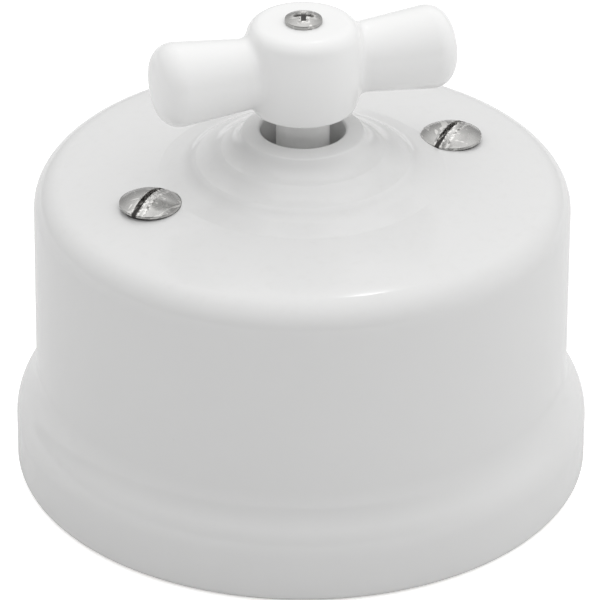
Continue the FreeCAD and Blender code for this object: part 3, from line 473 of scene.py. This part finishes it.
def moulded(name, colour, second, roughness, mottle_scale):
    """Moulded insulating material, with a mottled body and a fine satin skin."""
    dust_grey = (0.5, 0.49, 0.47, 1.0)
    skin_height = 0.01 * MM
    material, tree, shader, where = new_material(name)
    mottle = ramp(tree, noise(tree, where, mottle_scale, 5.0, 0.65), 0.40, 0.62)
    skin = noise(tree, where, 3000.0, 3.0, 0.6)
    marks = use_group(tree, "scratches", Vector=where, Scratch_Scale=700.0, Amount=0.35)
    dust = use_group(tree, "dust", Vector=where, Amount=0.25)["Dust"]
    body = blend_colours(tree, mottle, rgba(colour), rgba(second))
    scuff = rgba([part * 1.4 + 0.03 for part in colour])
    scuffed = blend_colours(tree, maths(tree, "MULTIPLY", marks["Scratches"], 0.3), body, scuff)
    rough = maths(tree, "MULTIPLY_ADD", marks["Dullness"], 0.15, roughness)
    height = maths(tree, "MULTIPLY_ADD", marks["Scratches"], -0.5, skin)
    plug(tree, shader, Base_Color=blend_colours(tree, dust, scuffed, dust_grey), Roughness=rough,
         Normal=bump(tree, height, skin_height), IOR=1.5)
    return material


def dress(node, material):
    """Give a carried-over solid its material, on the object and not on its mesh."""
    piece = frame["nodes"][node]
    for slot in piece.material_slots:
        slot.link = "OBJECT"
        slot.material = material
    for polygon in piece.data.polygons:
        polygon.use_smooth = True


# Mesh tools

def ring_outline(bm, profile, closed=False):
    """Vertices and edges of half a section in the XZ plane."""
    verts = [bm.verts.new((across, 0.0, up)) for across, up in profile]
    ends = verts[1:] + verts[:1] if closed else verts[1:]
    edges = [bm.edges.new(pair) for pair in zip(verts, ends)]
    return verts + edges


def arc_points(start, finish, radius, left, points=8):
    """Points of the short arc from start to finish, with its centre on the left of the way or the right."""
    start, finish = Vector(start), Vector(finish)
    chord = finish - start
    side = Vector((-chord.y, chord.x)).normalized() * (1 if left else -1)
    away = math.sqrt(max(radius ** 2 - (chord.length / 2) ** 2, 0.0))
    centre = (start + finish) / 2 + side * away
    first = start - centre
    turn = first.angle_signed(finish - centre)
    return [centre + Matrix.Rotation(-turn * step / points, 2) @ first for step in range(points + 1)]


def rounded(corners, points=8):
    """The outline through the corners, each with the rounding that stands after its place."""
    outline = []
    for number, (across, up, size) in enumerate(corners):
        place = Vector((across, up))
        if not size:
            outline.append(place)
            continue
        before = (Vector(corners[number - 1][:2]) - place).normalized()
        after = (Vector(corners[(number + 1) % len(corners)][:2]) - place).normalized()
        half = before.angle(after) / 2
        reach = size / math.tan(half)
        left = before.x * after.y - before.y * after.x < 0
        outline += arc_points(place + before * reach, place + after * reach, size, left, points)
    return outline


def cut_away(piece, cutters):
    """Take the cutters' solids away from a piece, and then the cutters themselves."""
    for cutter in cutters:
        cut = piece.modifiers.new("cut", "BOOLEAN")
        cut.operation = "DIFFERENCE"
        cut.solver = "EXACT"
        cut.object = cutter
    bake(piece)
    for cutter in cutters:
        bpy.data.objects.remove(cutter)


def bake(piece):
    """Turn a piece with modifiers into a plain mesh."""
    seen = piece.evaluated_get(bpy.context.evaluated_depsgraph_get())
    mesh = bpy.data.meshes.new_from_object(seen)
    piece.modifiers.clear()
    piece.data = mesh


def close_up(bm):
    """Join what lies in one place, and turn all faces outwards."""
    bmesh.ops.remove_doubles(bm, verts=bm.verts, dist=0.001 * MM)
    bmesh.ops.recalc_face_normals(bm, faces=bm.faces)


def spun(profile, steps, closed=False):
    """A solid of revolution about Z; an open section starts and ends on the axis."""
    bm = bmesh.new()
    geometry = ring_outline(bm, profile, closed)
    bmesh.ops.spin(bm, geom=geometry, cent=(0, 0, 0), axis=(0, 0, 1), angle=math.tau, steps=steps,
                   use_merge=True)
    close_up(bm)
    return bm


def dome_section(radius, low, high):
    """A dome's section from its rim in to the axis: it rises from low to high."""
    rise = high - low
    curve = (radius ** 2 + rise ** 2) / (2 * rise)
    span = math.asin(radius / curve)
    turns = [span * (1 - step / DOME_POINTS) for step in range(DOME_POINTS + 1)]
    return [(curve * math.sin(turn), high - curve + curve * math.cos(turn)) for turn in turns]


def cut_planes(bm, planes):
    for place, normal in planes:
        bmesh.ops.bisect_plane(bm, geom=bm.verts[:] + bm.edges[:] + bm.faces[:], dist=0.0002 * MM,
                               plane_co=place, plane_no=normal)


def planes_across(axis, distances):
    """Planes on both sides of the middle, square to the axis."""
    normal = Vector([number == axis for number in range(3)])
    return [(normal * side * distance, normal) for side in (-1, 1) for distance in distances]


def sink(bm, faces):
    """Open a recess where the faces are, and give the vertices of its bottom."""
    sunk = bmesh.ops.extrude_face_region(bm, geom=faces)
    bmesh.ops.delete(bm, geom=[face for face in faces if face.is_valid], context="FACES")
    return [item for item in sunk["geom"] if isinstance(item, bmesh.types.BMVert)]


def open_slot(bm, half_width, floor, rim):
    """Sink a straight slot along X right across a head, down to the floor's height."""
    cut_planes(bm, planes_across(1, [half_width]) + [((0, 0, floor), (0, 0, 1))])
    middles = ((face, face.calc_center_median()) for face in bm.faces)
    band = [face for face, middle in middles if abs(middle.y) < half_width and middle.z > floor]
    top = [face for face in band if face.normal.z > 0.3]
    side = [face for face in band if face.normal.z <= 0.3]
    bmesh.ops.delete(bm, geom=side, context="FACES")
    for vert in sink(bm, top):
        vert.co.z = floor
    middles = ((face, face.calc_center_median()) for face in bm.faces)
    ends = [face for face, middle in middles
            if abs(middle.y) < half_width * 0.98 and math.hypot(*middle.xy) > rim
            and middle.z > floor + 0.001 * MM]
    bmesh.ops.delete(bm, geom=ends, context="FACES")
    close_up(bm)


def thread_on(bm, root, crest, low, high, pitch, steps=20):
    """A helical ridge round a shank, spun with a rise."""
    turns = int((high - low) / pitch)
    inside = root - 0.03 * MM
    corners = [(inside, 0.0), (crest, 0.42 * pitch), (crest, 0.55 * pitch), (inside, 0.97 * pitch)]
    ridge = ring_outline(bm, [(across, low + up) for across, up in corners], closed=True)
    start = bm.faces.new(ridge[:len(corners)])
    bmesh.ops.spin(bm, geom=ridge + [start], cent=(0, 0, 0), axis=(0, 0, 1), dvec=(0, 0, pitch / steps),
                   angle=math.tau * turns, steps=steps * turns, use_merge=False)


def paint_wear_and_shade(mesh, torn, painted_shade):
    """Store the two masks that the screws' material reads, wear and painted shade, as a colour at each
    vertex.
    """
    layer = mesh.color_attributes.new("wear_and_shade", "FLOAT_COLOR", "POINT")
    for vert, entry in zip(mesh.vertices, layer.data):
        entry.color = (torn(vert.co), painted_shade(vert.co), 0.0, 1.0)


def finished(bm, name, places, torn, painted_shade):
    """One mesh object with a copy of the form at every place, each with its wear and painted shade put on
    first.
    """
    form = bpy.data.meshes.new(name + "_form")
    bm.to_mesh(form)
    bm.free()
    paint_wear_and_shade(form, torn, painted_shade)
    whole = bmesh.new()
    for place in places:
        copy = form.copy()
        copy.transform(place)
        whole.from_mesh(copy)
        bpy.data.meshes.remove(copy)
    bpy.data.meshes.remove(form)
    piece = put_mesh(whole, name)
    smooth(piece)
    piece.data.materials.append(bpy.data.materials.get("nickel_screw") or plated_screw())
    return piece


def smooth(piece, edge=SHARP_EDGE):
    piece.data.shade_smooth()
    piece.data.set_sharp_from_angle(angle=edge)


def put_mesh(bm, name, place=None):
    """An object in the scene from a mesh in the making."""
    if place is not None:
        bmesh.ops.transform(bm, matrix=place, verts=bm.verts)
    mesh = bpy.data.meshes.new(name)
    bm.to_mesh(mesh)
    bm.free()
    piece = bpy.data.objects.new(name, mesh)
    bpy.context.scene.collection.objects.link(piece)
    return piece


class SwitchOperator(bpy.types.Operator):
    """Base of the operators that dress the switch."""

    bl_options = {"REGISTER", "UNDO"}


class SWITCH_OT_base(SwitchOperator):
    """Glaze the base"""

    bl_idname = "switch.base"
    bl_label = "Glaze the base"

    def execute(self, context):
        dress("base", porcelain("base_glaze", 0.03))
        return {"FINISHED"}


class SWITCH_OT_cover(SwitchOperator):
    """Build the cover's casting with its softly stepped boss and the screws' seats"""

    bl_idname = "switch.cover"
    bl_label = "Build the cover"

    def execute(self, context):
        cover = context.scene.switch_cover
        cove_slope = math.radians(35)
        foot_round = 1.5 * MM
        ridge = 0.5 * MM
        lip = 0.38 * MM
        ceiling_round = 2 * MM
        crown_steps = 8
        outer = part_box("cover")[1].x
        inner = outer - cover.wall
        drum = outer - cover.flange_step
        drum_top = drum - cover.drum_draft
        drum_inner = drum_top - cover.wall
        slope = math.tan(cover.crown_slope)
        cove = cover.flange_height + cover.flange_step / math.tan(cove_slope)
        ceiling = cover.drum_height - cover.crown_wall
        foot = cover.drum_height + (drum_top - cover.boss_radius) * slope
        rise = cover.boss_height

        def crown(across):
            return cover.drum_height + (drum_top - across) * slope

        # Each corner: how far out it lies, its height, and the radius of its rounding
        corners = [(inner, 0, 0), (outer, 0, cover.rim_round),
                   (outer, cover.flange_height, cover.flange_round), (drum, cove, cover.cove_round),
                   (drum_top, cover.drum_height, cover.crown_round)]
        flat = drum_top - 1.5 * cover.crown_round - cover.boss_radius
        for step in range(crown_steps):
            across = cover.boss_radius + flat * (1 - step / crown_steps)
            corners.append((across, crown(across), 0))
        corners.append((cover.boss_radius, foot, foot_round))
        # Each hollow step: its outer radius and share of the rise, its inner ones, and its curve's radius
        steps = ((cover.apron_radius, 0.108, cover.ring_radius + ridge, 0.252, 4.2 * MM),
                 (cover.ring_radius, 0.297, cover.collar_radius + ridge, 0.484, 6.7 * MM),
                 (cover.collar_radius, 0.533, cover.lip_radius, 0.808, 3.0 * MM))
        for start, start_rise, finish, finish_rise, curve in steps:
            hollow = arc_points((start, foot + rise * start_rise), (finish, foot + rise * finish_rise), curve,
                                False)
            corners.append((*hollow[0], ridge))
            corners += [(*place, 0) for place in hollow[1:]]
        cavity = ceiling + cover.cavity_rise
        rebate = cover.rebate_height
        corners += [(cover.lip_radius - 0.35 * MM, foot + rise * 0.921, lip),
                    (cover.bore_radius, foot + rise, lip), (cover.bore_radius, cavity, 0),
                    (cover.cavity_radius, cavity, 0), (cover.cavity_radius, ceiling, 0),
                    (drum_inner, ceiling, ceiling_round),
                    (drum_inner, rebate + inner - drum_inner, 0), (inner, rebate, 0)]
        bm = spun([tuple(place) for place in rounded(corners)], steps=160, closed=True)
        piece = put_mesh(bm, "cover_detailed")
        screws_low, screws_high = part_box("cover_screws")
        circle = screws_high.x - (screws_high.y - screws_low.y) / 2
        seat = crown(circle) + 0.2 * MM
        head = cover.seat_radius
        hole = cover.screw_hole
        cone = [(0, ceiling - MM), (hole, ceiling - MM), (hole, seat - head + hole), (head, seat),
                (head, seat + 2 * MM), (0, seat + 2 * MM)]
        places = [Matrix.Translation((side * circle, 0, 0)) for side in (1, -1)]
        cut_away(piece, [put_mesh(spun(cone, steps=72), "seat_cutter", place) for place in places])
        smooth(piece)
        piece.data.materials.clear()
        piece.data.materials.append(porcelain("white_glaze", 0.008))
        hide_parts("cover")
        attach(piece, "fixed")
        return {"FINISHED"}


class SWITCH_OT_handle(SwitchOperator):
    """Build the T-handle: a full round hub with two flared arms blended into it"""

    bl_idname = "switch.handle"
    bl_label = "Build the handle"

    def execute(self, context):
        handle = context.scene.switch_handle
        side_curve = 16 * MM
        edge_drop = 1.4 * MM
        edge_curve = 1.85 * MM
        lower_round = 0.4 * MM
        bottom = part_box("handle")[0].z
        top = bottom + handle.hub_height
        shoulder = top - edge_drop
        side = arc_points((handle.hub_rim, bottom), (handle.hub_shoulder, shoulder), side_curve, True, 16)
        edge = arc_points((handle.hub_shoulder, shoulder), (handle.hub_top, top), edge_curve, True)
        corners = [(0, bottom, 0), (*side[0], lower_round)]
        corners += [(*place, 0) for place in side[1:] + edge[1:]]
        corners.append((0, top, 0))
        hub = spun([tuple(place) for place in rounded(corners)], steps=128)
        root = 6 * MM
        end_curve = 15.8 * MM
        end_round = 2.7 * MM
        end_depth = 2.9 * MM
        end = handle.arm_reach
        tip = end - end_depth
        face_edge = (handle.arm_tip - 2.3 * MM, 0.25 * MM - end)
        cap = arc_points((0, -end), face_edge, end_curve, True, 4)
        cap += arc_points(face_edge, (handle.arm_tip, -tip), end_round, True, 10)[1:]
        half_arm = [tuple(place) for place in cap] + [(handle.arm_waist, -root)]
        arms = spun(half_arm + [(across, -up) for across, up in reversed(half_arm)], steps=96)
        axis = bottom + handle.arm_rise
        lie_down = Matrix.Translation((0, 0, axis)) @ Matrix.Rotation(math.pi / 2, 4, "Y")
        bmesh.ops.transform(arms, matrix=lie_down, verts=arms.verts)
        spindle = bpy.data.meshes.new("spindle")
        arms.to_mesh(spindle)
        arms.free()
        hub.from_mesh(spindle)
        bpy.data.meshes.remove(spindle)
        piece = put_mesh(hub, "handle_detailed")
        fuse = piece.modifiers.new("fuse", "REMESH")
        fuse.mode = "VOXEL"
        fuse.voxel_size = 0.22 * MM
        bake(piece)
        bm = bmesh.new()
        bm.from_mesh(piece.data)
        hub_bulge = 0.7 * MM
        root_rounds = 24
        skin_rounds = 4

        def near_root(vert):
            """Whether a vertex lies close to both the hub's side and an arm's side."""
            across = math.hypot(vert.co.x, vert.co.y)
            share = max(0.0, (abs(vert.co.x) - root) / (tip - root))
            arm = handle.arm_waist + (handle.arm_tip - handle.arm_waist) * share
            from_arm = math.hypot(vert.co.y, vert.co.z - axis) - arm
            along = min(max((vert.co.z - bottom) / (shoulder - bottom), 0.0), 1.0)
            bulge = hub_bulge * (1 - (2 * along - 1) ** 2)
            from_hub = across - (handle.hub_rim + (handle.hub_shoulder - handle.hub_rim) * along + bulge)
            return max(abs(from_arm), abs(from_hub)) < handle.root_blend

        roots = [vert for vert in bm.verts if near_root(vert)]
        for count, verts in ((root_rounds, roots), (skin_rounds, bm.verts[:])):
            for step in range(count):
                bmesh.ops.smooth_vert(bm, verts=verts, factor=0.5, use_axis_x=True, use_axis_y=True,
                                      use_axis_z=True)
        bm.to_mesh(piece.data)
        bm.free()
        hole = handle.screw_hole
        bore = [(0, bottom), (hole, bottom), (hole, top + MM), (0, top + MM)]
        drill = put_mesh(spun(bore, steps=48), "drill")
        low = bottom - MM
        tall = bottom + handle.socket_height - low
        shape = Matrix.Translation((0, 0, low + tall / 2)) @ Matrix.Diagonal(
            (handle.socket_width, handle.socket_width, tall, 1))
        socket = bmesh.new()
        bmesh.ops.create_cube(socket, size=1.0)
        cut_away(piece, [drill, put_mesh(socket, "socket_cutter", shape)])
        piece.data.transform(Matrix.Rotation(handle.turn, 4, "Z"))
        smooth(piece, math.radians(40))
        piece.data.materials.clear()
        piece.data.materials.append(bpy.data.materials["white_glaze"])
        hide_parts("handle")
        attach(piece, "turning")
        return {"FINISHED"}


class SWITCH_OT_metal_works(SwitchOperator):
    """Give brass, bronze, steel and silver to the works"""

    bl_idname = "switch.metal_works"
    bl_label = "Finish the metal works"

    def execute(self, context):
        metals = context.scene.switch_metals
        fine, rings = (1.0, 1.0, 1.0), (1.0, 1.0, 8.0)
        brass = turned_metal("terminal_brass", metals.brass, (0.52, 0.34, 0.13), 0.24, 1400.0, rings)
        bronze = turned_metal("spring_bronze", metals.bronze, (0.42, 0.23, 0.12), 0.22, 2600.0,
                              (0.06, 1.0, 1.0))
        strip = turned_metal("bridge_steel", metals.steel, (0.42, 0.41, 0.36), 0.30, 2200.0, (0.08, 1.0, 1.0))
        spring = turned_metal("spring_steel", [part * 0.7 for part in metals.steel], (0.22, 0.21, 0.21), 0.26,
                              3000.0, (0.05, 1.0, 1.0))
        silver = turned_metal("contact_silver", metals.silver, (0.48, 0.46, 0.42), 0.20, 1800.0, fine)
        for material, nodes in (
                (brass, ("terminal_front", "terminal_rear", "pillars", "moving_contact", "leaf_rivets")),
                (bronze, ("contact_leaf_front", "contact_leaf_rear")),
                (strip, ("bridge", "shaft_washer")),
                (spring, ("detent_spring_front", "detent_spring_rear", "retaining_clip")),
                (silver, ("contact_tips",))):
            for node in nodes:
                dress(node, material)
        return {"FINISHED"}


class SWITCH_OT_mouldings(SwitchOperator):
    """Give the shaft, the carrier and the cam their moulded finish"""

    bl_idname = "switch.mouldings"
    bl_label = "Finish the mouldings"

    def execute(self, context):
        metals = context.scene.switch_metals
        white = moulded("white_moulding", metals.shaft, [part * 0.93 for part in metals.shaft], 0.38, 120.0)
        brown = moulded("brown_moulding", metals.carrier, (0.11, 0.05, 0.025), 0.34, 300.0)
        cream = moulded("cam_moulding", metals.cam, (0.50, 0.45, 0.34), 0.42, 160.0)
        for material, node in ((white, "turning_shaft"), (brown, "contact_carrier"), (cream, "detent_cam")):
            dress(node, material)
        return {"FINISHED"}


class SWITCH_OT_cover_screws(SwitchOperator):
    """Build the two slotted cover screws with thread, burr and torn edges"""

    bl_idname = "switch.cover_screws"
    bl_label = "Build the cover screws"

    def execute(self, context):
        screws = context.scene.switch_screws
        low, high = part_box("cover_screws")
        circle = high.x - (high.y - low.y) / 2
        head = 3.7 * MM
        shank = 1.95 * MM
        rim_low = high.z - 1.3 * MM
        rim_high = rim_low + 0.32 * MM
        crown = rim_high + screws.cover_dome
        root = shank - screws.thread_depth
        floor = crown - screws.slot_depth
        edge = 0.12 * MM
        point = 0.4 * MM
        profile = [(0.0, low.z), (root - point, low.z), (root, low.z + point),
                   (root, rim_low + root - head), (head - edge, rim_low - edge), (head, rim_low),
                   (head, rim_high - edge), (head - edge * 0.3, rim_high - edge * 0.3)]
        profile += dome_section(head - edge, rim_high, crown)
        bm = spun(profile, steps=96)
        half = screws.slot_width / 2
        lip = 0.16 * MM
        band = 0.75 * MM
        band_reach = 0.3 * MM
        strip = 0.18 * MM
        strips = 20
        marks = (lip, band - band_reach, band, band + band_reach)
        cut_planes(bm, planes_across(1, [half + away for away in marks]))
        cut_planes(bm, [((place * strip, 0, 0), (1, 0, 0)) for place in range(-strips, strips + 1)])
        open_slot(bm, half, floor, head - 0.05 * MM)
        brink = [vert for vert in bm.verts
                 if abs(abs(vert.co.y) - half) < 0.01 * MM and vert.co.z > floor + 0.05 * MM]

        def along_slot(vert):
            """The near edge comes before the far one, each from one end to the other and then upwards."""
            return vert.co.y > 0, round(vert.co.x, 6), round(vert.co.z, 6)

        draw = random.Random(7)
        for vert in sorted(brink, key=along_slot):
            near = vert.co.y < 0
            vert.co.z += screws.burr_height * (0.5 + 0.5 * draw.random()) * (1.0 if near else 0.5)
            vert.co.y += 0.05 * MM * draw.random() * (1.0 if near else -1.0)
        thread_on(bm, root, shank, low.z + 0.3 * MM, rim_low - (head - shank) - 0.2 * MM, screws.thread_pitch)

        def torn(place):
            """Torn metal lies along the slot, and in a band beside its near edge."""
            if place.z < rim_high - 0.3 * MM:
                return 0.0
            near = max(abs(place.y) - half, 0.0)
            at_slot = max(0.0, 1.0 - near / (2 * lip))
            if place.y > 0:
                return at_slot
            return max(at_slot, 1.0 - abs(near - band) / band_reach)

        def painted_shade(place):
            """Painted shade: black on everything below the head's rim, thread included, and on the slot's
            floor.
            """
            # Painted shade: the black band under the rim stands in for the shadow in the gap below the head
            if place.z < rim_low - 0.02 * MM:
                return 1.0
            return 1.0 if place.z < floor + 0.3 * MM and abs(place.y) < half * 0.8 else 0.0

        turned = Matrix.Rotation(screws.slot_turn, 4, "Z")
        places = [Matrix.Translation((side * circle, 0, 0)) @ turned for side in (1, -1)]
        piece = finished(bm, "cover_screws_detailed", places, torn, painted_shade)
        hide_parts("cover_screws")
        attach(piece, "fixed")
        return {"FINISHED"}


class SWITCH_OT_handle_screw(SwitchOperator):
    """Build the small pan-head screw in the handle, with its cross recess"""

    bl_idname = "switch.handle_screw"
    bl_label = "Build the handle screw"

    def execute(self, context):
        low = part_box("handle_screw")[0]
        head = 2.25 * MM
        shank = 1.2 * MM
        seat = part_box("handle")[0].z + context.scene.switch_handle.hub_height
        crown = seat + 0.9 * MM
        rim_high = seat + 0.45 * MM
        root = shank - 0.18 * MM
        edge = 0.08 * MM
        profile = [(0.0, low.z), (root * 0.6, low.z), (root, low.z + 0.4 * MM), (root, seat - 0.02 * MM),
                   (head - edge, seat), (head, seat + edge), (head, rim_high - 0.12 * MM)]
        profile += dome_section(head - 0.04 * MM, rim_high, crown)
        bm = spun(profile, steps=96)
        half = 0.30 * MM
        arm = 1.25 * MM
        deepest = 0.75 * MM
        taper = 0.72
        for distance in (half, arm):
            cut_planes(bm, planes_across(0, [distance]) + planes_across(1, [distance]))

        def in_cross(face):
            middle = face.calc_center_median()
            across, along = sorted((abs(middle.x), abs(middle.y)))
            return face.normal.z > 0.5 and middle.z > rim_high and along < arm and across < half

        for vert in sink(bm, [face for face in bm.faces if in_cross(face)]):
            depth = deepest - 0.35 * math.hypot(vert.co.x, vert.co.y)
            vert.co = Vector((vert.co.x * taper, vert.co.y * taper, vert.co.z - depth))
        bmesh.ops.recalc_face_normals(bm, faces=bm.faces)
        thread_on(bm, root, shank, low.z + 0.3 * MM, seat - 0.6 * MM, 0.45 * MM, steps=16)

        def torn(place):
            """Torn metal lies round the cross."""
            if place.z < rim_high:
                return 0.0
            across, along = sorted((abs(place.x), abs(place.y)))
            near = max(across - half, along - arm, 0.0)
            return 0.8 * max(0.0, 1.0 - near / (0.5 * MM))

        def painted_shade(place):
            """Painted shade: dark in the cross recess, and half as dark below the seat, on the thread."""
            if place.z < seat:
                return 0.5
            inside = max(abs(place.x), abs(place.y)) < arm * 0.8 and place.z < rim_high + 0.15 * MM
            return 0.9 if inside else 0.0

        turned = Matrix.Rotation(context.scene.switch_stage.azimuth, 4, "Z")
        piece = finished(bm, "handle_screw_detailed", [turned], torn, painted_shade)
        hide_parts("handle_screw")
        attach(piece, "turning")
        return {"FINISHED"}


class SWITCH_OT_base_screws(SwitchOperator):
    """Build the slotted screws under the base and in the terminals, with their threads"""

    bl_idname = "switch.base_screws"
    bl_label = "Build the base and terminal screws"

    half_slot = 0.4 * MM

    def execute(self, context):
        screws = context.scene.switch_screws
        for node in ("pillar_screws", "terminal_screws", "clamp_screws"):
            low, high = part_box(node)
            upwards = node == "clamp_screws"
            head, shank, tall = (2.9 * MM, 1.7 * MM, 1.8 * MM) if upwards else (3.4 * MM, 1.95 * MM, 2.0 * MM)
            bm = self.form(head, shank, tall, high.z - low.z - tall, screws)
            across = high.x - head
            along = high.y - head
            if node == "pillar_screws":
                spots = [(across, 0.0), (-across, 0.0)]
            else:
                spots = [(across, -along), (-across, along)]
            if upwards:
                places = [Matrix.Translation((x, y, high.z - tall)) for x, y in spots]
            else:
                flip = Matrix.Rotation(math.pi, 4, "X")
                places = [Matrix.Translation((x, y, low.z + tall)) @ flip for x, y in spots]

            def torn(place):
                return 0.6 if place.z > tall * 0.9 else 0.0

            def painted_shade(place):
                """Painted shade: dark in the slot, and less dark on the thread."""
                if place.z < 0:
                    return 0.5
                in_slot = 0.1 * MM < place.z < tall * 0.55 and abs(place.y) < self.half_slot
                return 0.8 if in_slot else 0.0

            piece = finished(bm, node + "_detailed", places, torn, painted_shade)
            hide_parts(node)
            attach(piece, "fixed")
        return {"FINISHED"}

    def form(self, head, shank, tall, length, screws):
        """A cheese-head screw with its head up and its seat at height 0."""
        root = shank - screws.thread_depth
        edge = 0.35 * MM
        point = 0.3 * MM
        profile = [(0.0, -length), (root - point, -length), (root, point - length), (root, 0.0), (head, 0.0),
                   (head, tall - edge), (head - 0.3 * edge, tall - 0.3 * edge), (head - edge, tall),
                   (0.0, tall)]
        bm = spun(profile, steps=64)
        open_slot(bm, self.half_slot, tall * 0.5, head - 0.05 * MM)
        thread_on(bm, root, shank, 0.25 * MM - length, -0.4 * MM, screws.thread_pitch)
        return bm


class SWITCH_OT_stage(SwitchOperator):
    """Set up the floor, the soft light and the camera"""

    bl_idname = "switch.stage"
    bl_label = "Set up the stage"

    def execute(self, context):
        stage = context.scene.switch_stage
        self.floor(stage)
        right = Vector((math.cos(stage.azimuth), math.sin(stage.azimuth), 0.0))
        front = Vector((math.sin(stage.azimuth), -math.cos(stage.azimuth), 0.0))
        self.sky(context.scene, right, front)
        self.lamp(context.scene, Vector((0.0, 0.0, stage.aim_height)), right, front)
        self.camera(context.scene, stage, front)
        context.scene.view_settings.view_transform = "Standard"
        context.scene.view_settings.look = "None"
        return {"FINISHED"}

    @staticmethod
    def floor(stage):
        """A pale sheet, just under the switch, that looks plain white to the camera."""
        half_side = 3.0
        drop = 0.02 * MM
        glow = 0.55
        bm = bmesh.new()
        bmesh.ops.create_grid(bm, x_segments=2, y_segments=2, size=half_side)
        piece = put_mesh(bm, "floor", Matrix.Translation((0, 0, -drop)))
        material, tree, shader, where = new_material("studio_floor")
        seen = add_node(tree, "ShaderNodeLightPath").outputs["Is Camera Ray"]
        plug(tree, shader, Base_Color=rgba(stage.floor_colour), Roughness=0.9, Emission_Color=rgba((1, 1, 1)),
             Emission_Strength=maths(tree, "MULTIPLY", seen, glow))
        piece.data.materials.append(material)

    @staticmethod
    def sky(scene, right, front):
        """A light tent: bright above, paler at the sides and behind, dim in front."""
        scene.world = bpy.data.worlds.new("light_tent")
        scene.world.use_nodes = True
        tree = scene.world.node_tree
        towards = tree.nodes.new("ShaderNodeTexCoord").outputs["Generated"]

        def share(direction, power):
            """How far the sky lies in a direction, sharpened by a power."""
            along = add_node(tree, "ShaderNodeVectorMath", {0: towards, 1: direction},
                             operation="DOT_PRODUCT")
            return maths(tree, "POWER", maths(tree, "MAXIMUM", along.outputs["Value"], 0.0), power)

        level = SKY_BASE
        for direction, power, strength in ((Vector((0, 0, 1)), 1.5, SKY_TOP), (right, 4.0, SKY_RIGHT),
                                           (-right, 4.0, SKY_LEFT), (front, 1.0, SKY_FRONT),
                                           (-front, 1.0, SKY_BACK)):
            level = maths(tree, "MULTIPLY_ADD", share(direction, power), strength, level)
        feed(tree, tree.nodes["Background"].inputs, {"Strength": level, "Color": rgba((1, 1, 1))})

    @staticmethod
    def lamp(scene, aim, right, front):
        to_right, to_back, upwards = LAMP_WAY
        towards = (right * to_right - front * to_back + Vector((0.0, 0.0, upwards))).normalized()
        data = bpy.data.lights.new("glint_lamp", "AREA")
        data.shape = "DISK"
        data.size = LAMP_SIZE
        data.energy = LAMP_POWER
        lamp = bpy.data.objects.new("glint_lamp", data)
        scene.collection.objects.link(lamp)
        lamp.location = aim + towards * LAMP_DISTANCE
        lamp.rotation_mode = "QUATERNION"
        lamp.rotation_quaternion = towards.to_track_quat("Z", "Y")

    @staticmethod
    def camera(scene, stage, front):
        data = bpy.data.cameras.new("camera")
        data.lens = stage.lens
        data.sensor_width = 36.0
        data.clip_start = 0.05
        camera = bpy.data.objects.new("camera", data)
        scene.collection.objects.link(camera)
        back = front * math.cos(stage.elevation) + Vector((0.0, 0.0, math.sin(stage.elevation)))
        camera.location = Vector((0.0, 0.0, stage.aim_height)) + back * stage.distance
        camera.rotation_mode = "QUATERNION"
        turned = back.to_track_quat("Z", "Y")
        lean = Matrix.Rotation(stage.roll, 3, "Z").to_quaternion()
        camera.rotation_quaternion = turned @ lean
        data.shift_x = CAMERA_SHIFT
        scene.camera = camera


class SWITCH_PT_panel(bpy.types.Panel):
    """The switch's pieces, each with the button that dresses it"""

    bl_idname = "SWITCH_PT_panel"
    bl_label = "Porcelain rotary switch"
    bl_space_type = "VIEW_3D"
    bl_region_type = "UI"
    bl_category = "Switch"

    def draw(self, context):
        for operator in OPERATORS:
            self.layout.operator(operator.bl_idname)
        for group, settings in GROUPS.items():
            box = self.layout.box()
            for name in settings.__annotations__:
                box.prop(getattr(context.scene, group), name)


OPERATORS = (
    SWITCH_OT_stage,
    SWITCH_OT_base,
    SWITCH_OT_cover,
    SWITCH_OT_handle,
    SWITCH_OT_metal_works,
    SWITCH_OT_mouldings,
    SWITCH_OT_cover_screws,
    SWITCH_OT_handle_screw,
    SWITCH_OT_base_screws,
)
CLASSES = (*GROUPS.values(), *OPERATORS, SWITCH_PT_panel)


def register():
    for item in CLASSES:
        bpy.utils.register_class(item)
    for name, settings in GROUPS.items():
        setattr(bpy.types.Scene, name, bpy.props.PointerProperty(type=settings))


def unregister():
    for name in GROUPS:
        delattr(bpy.types.Scene, name)
    for item in reversed(CLASSES):
        bpy.utils.unregister_class(item)


def clear_other_objects():
    """Take away what a new file holds, so that only the switch and its stage are there."""
    kept = set(frame["nodes"].values()) | set(frame["bodies"].values())
    for item in list(bpy.data.objects):
        if item not in kept:
            bpy.data.objects.remove(item)


def main():
    register()
    clear_other_objects()
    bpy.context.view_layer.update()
    bpy.ops.switch.stage()
    bpy.ops.switch.base()
    bpy.ops.switch.cover()
    bpy.ops.switch.handle()
    bpy.ops.switch.metal_works()
    bpy.ops.switch.mouldings()
    bpy.ops.switch.cover_screws()
    bpy.ops.switch.handle_screw()
    bpy.ops.switch.base_screws()


if __name__ == "__main__":
    main()
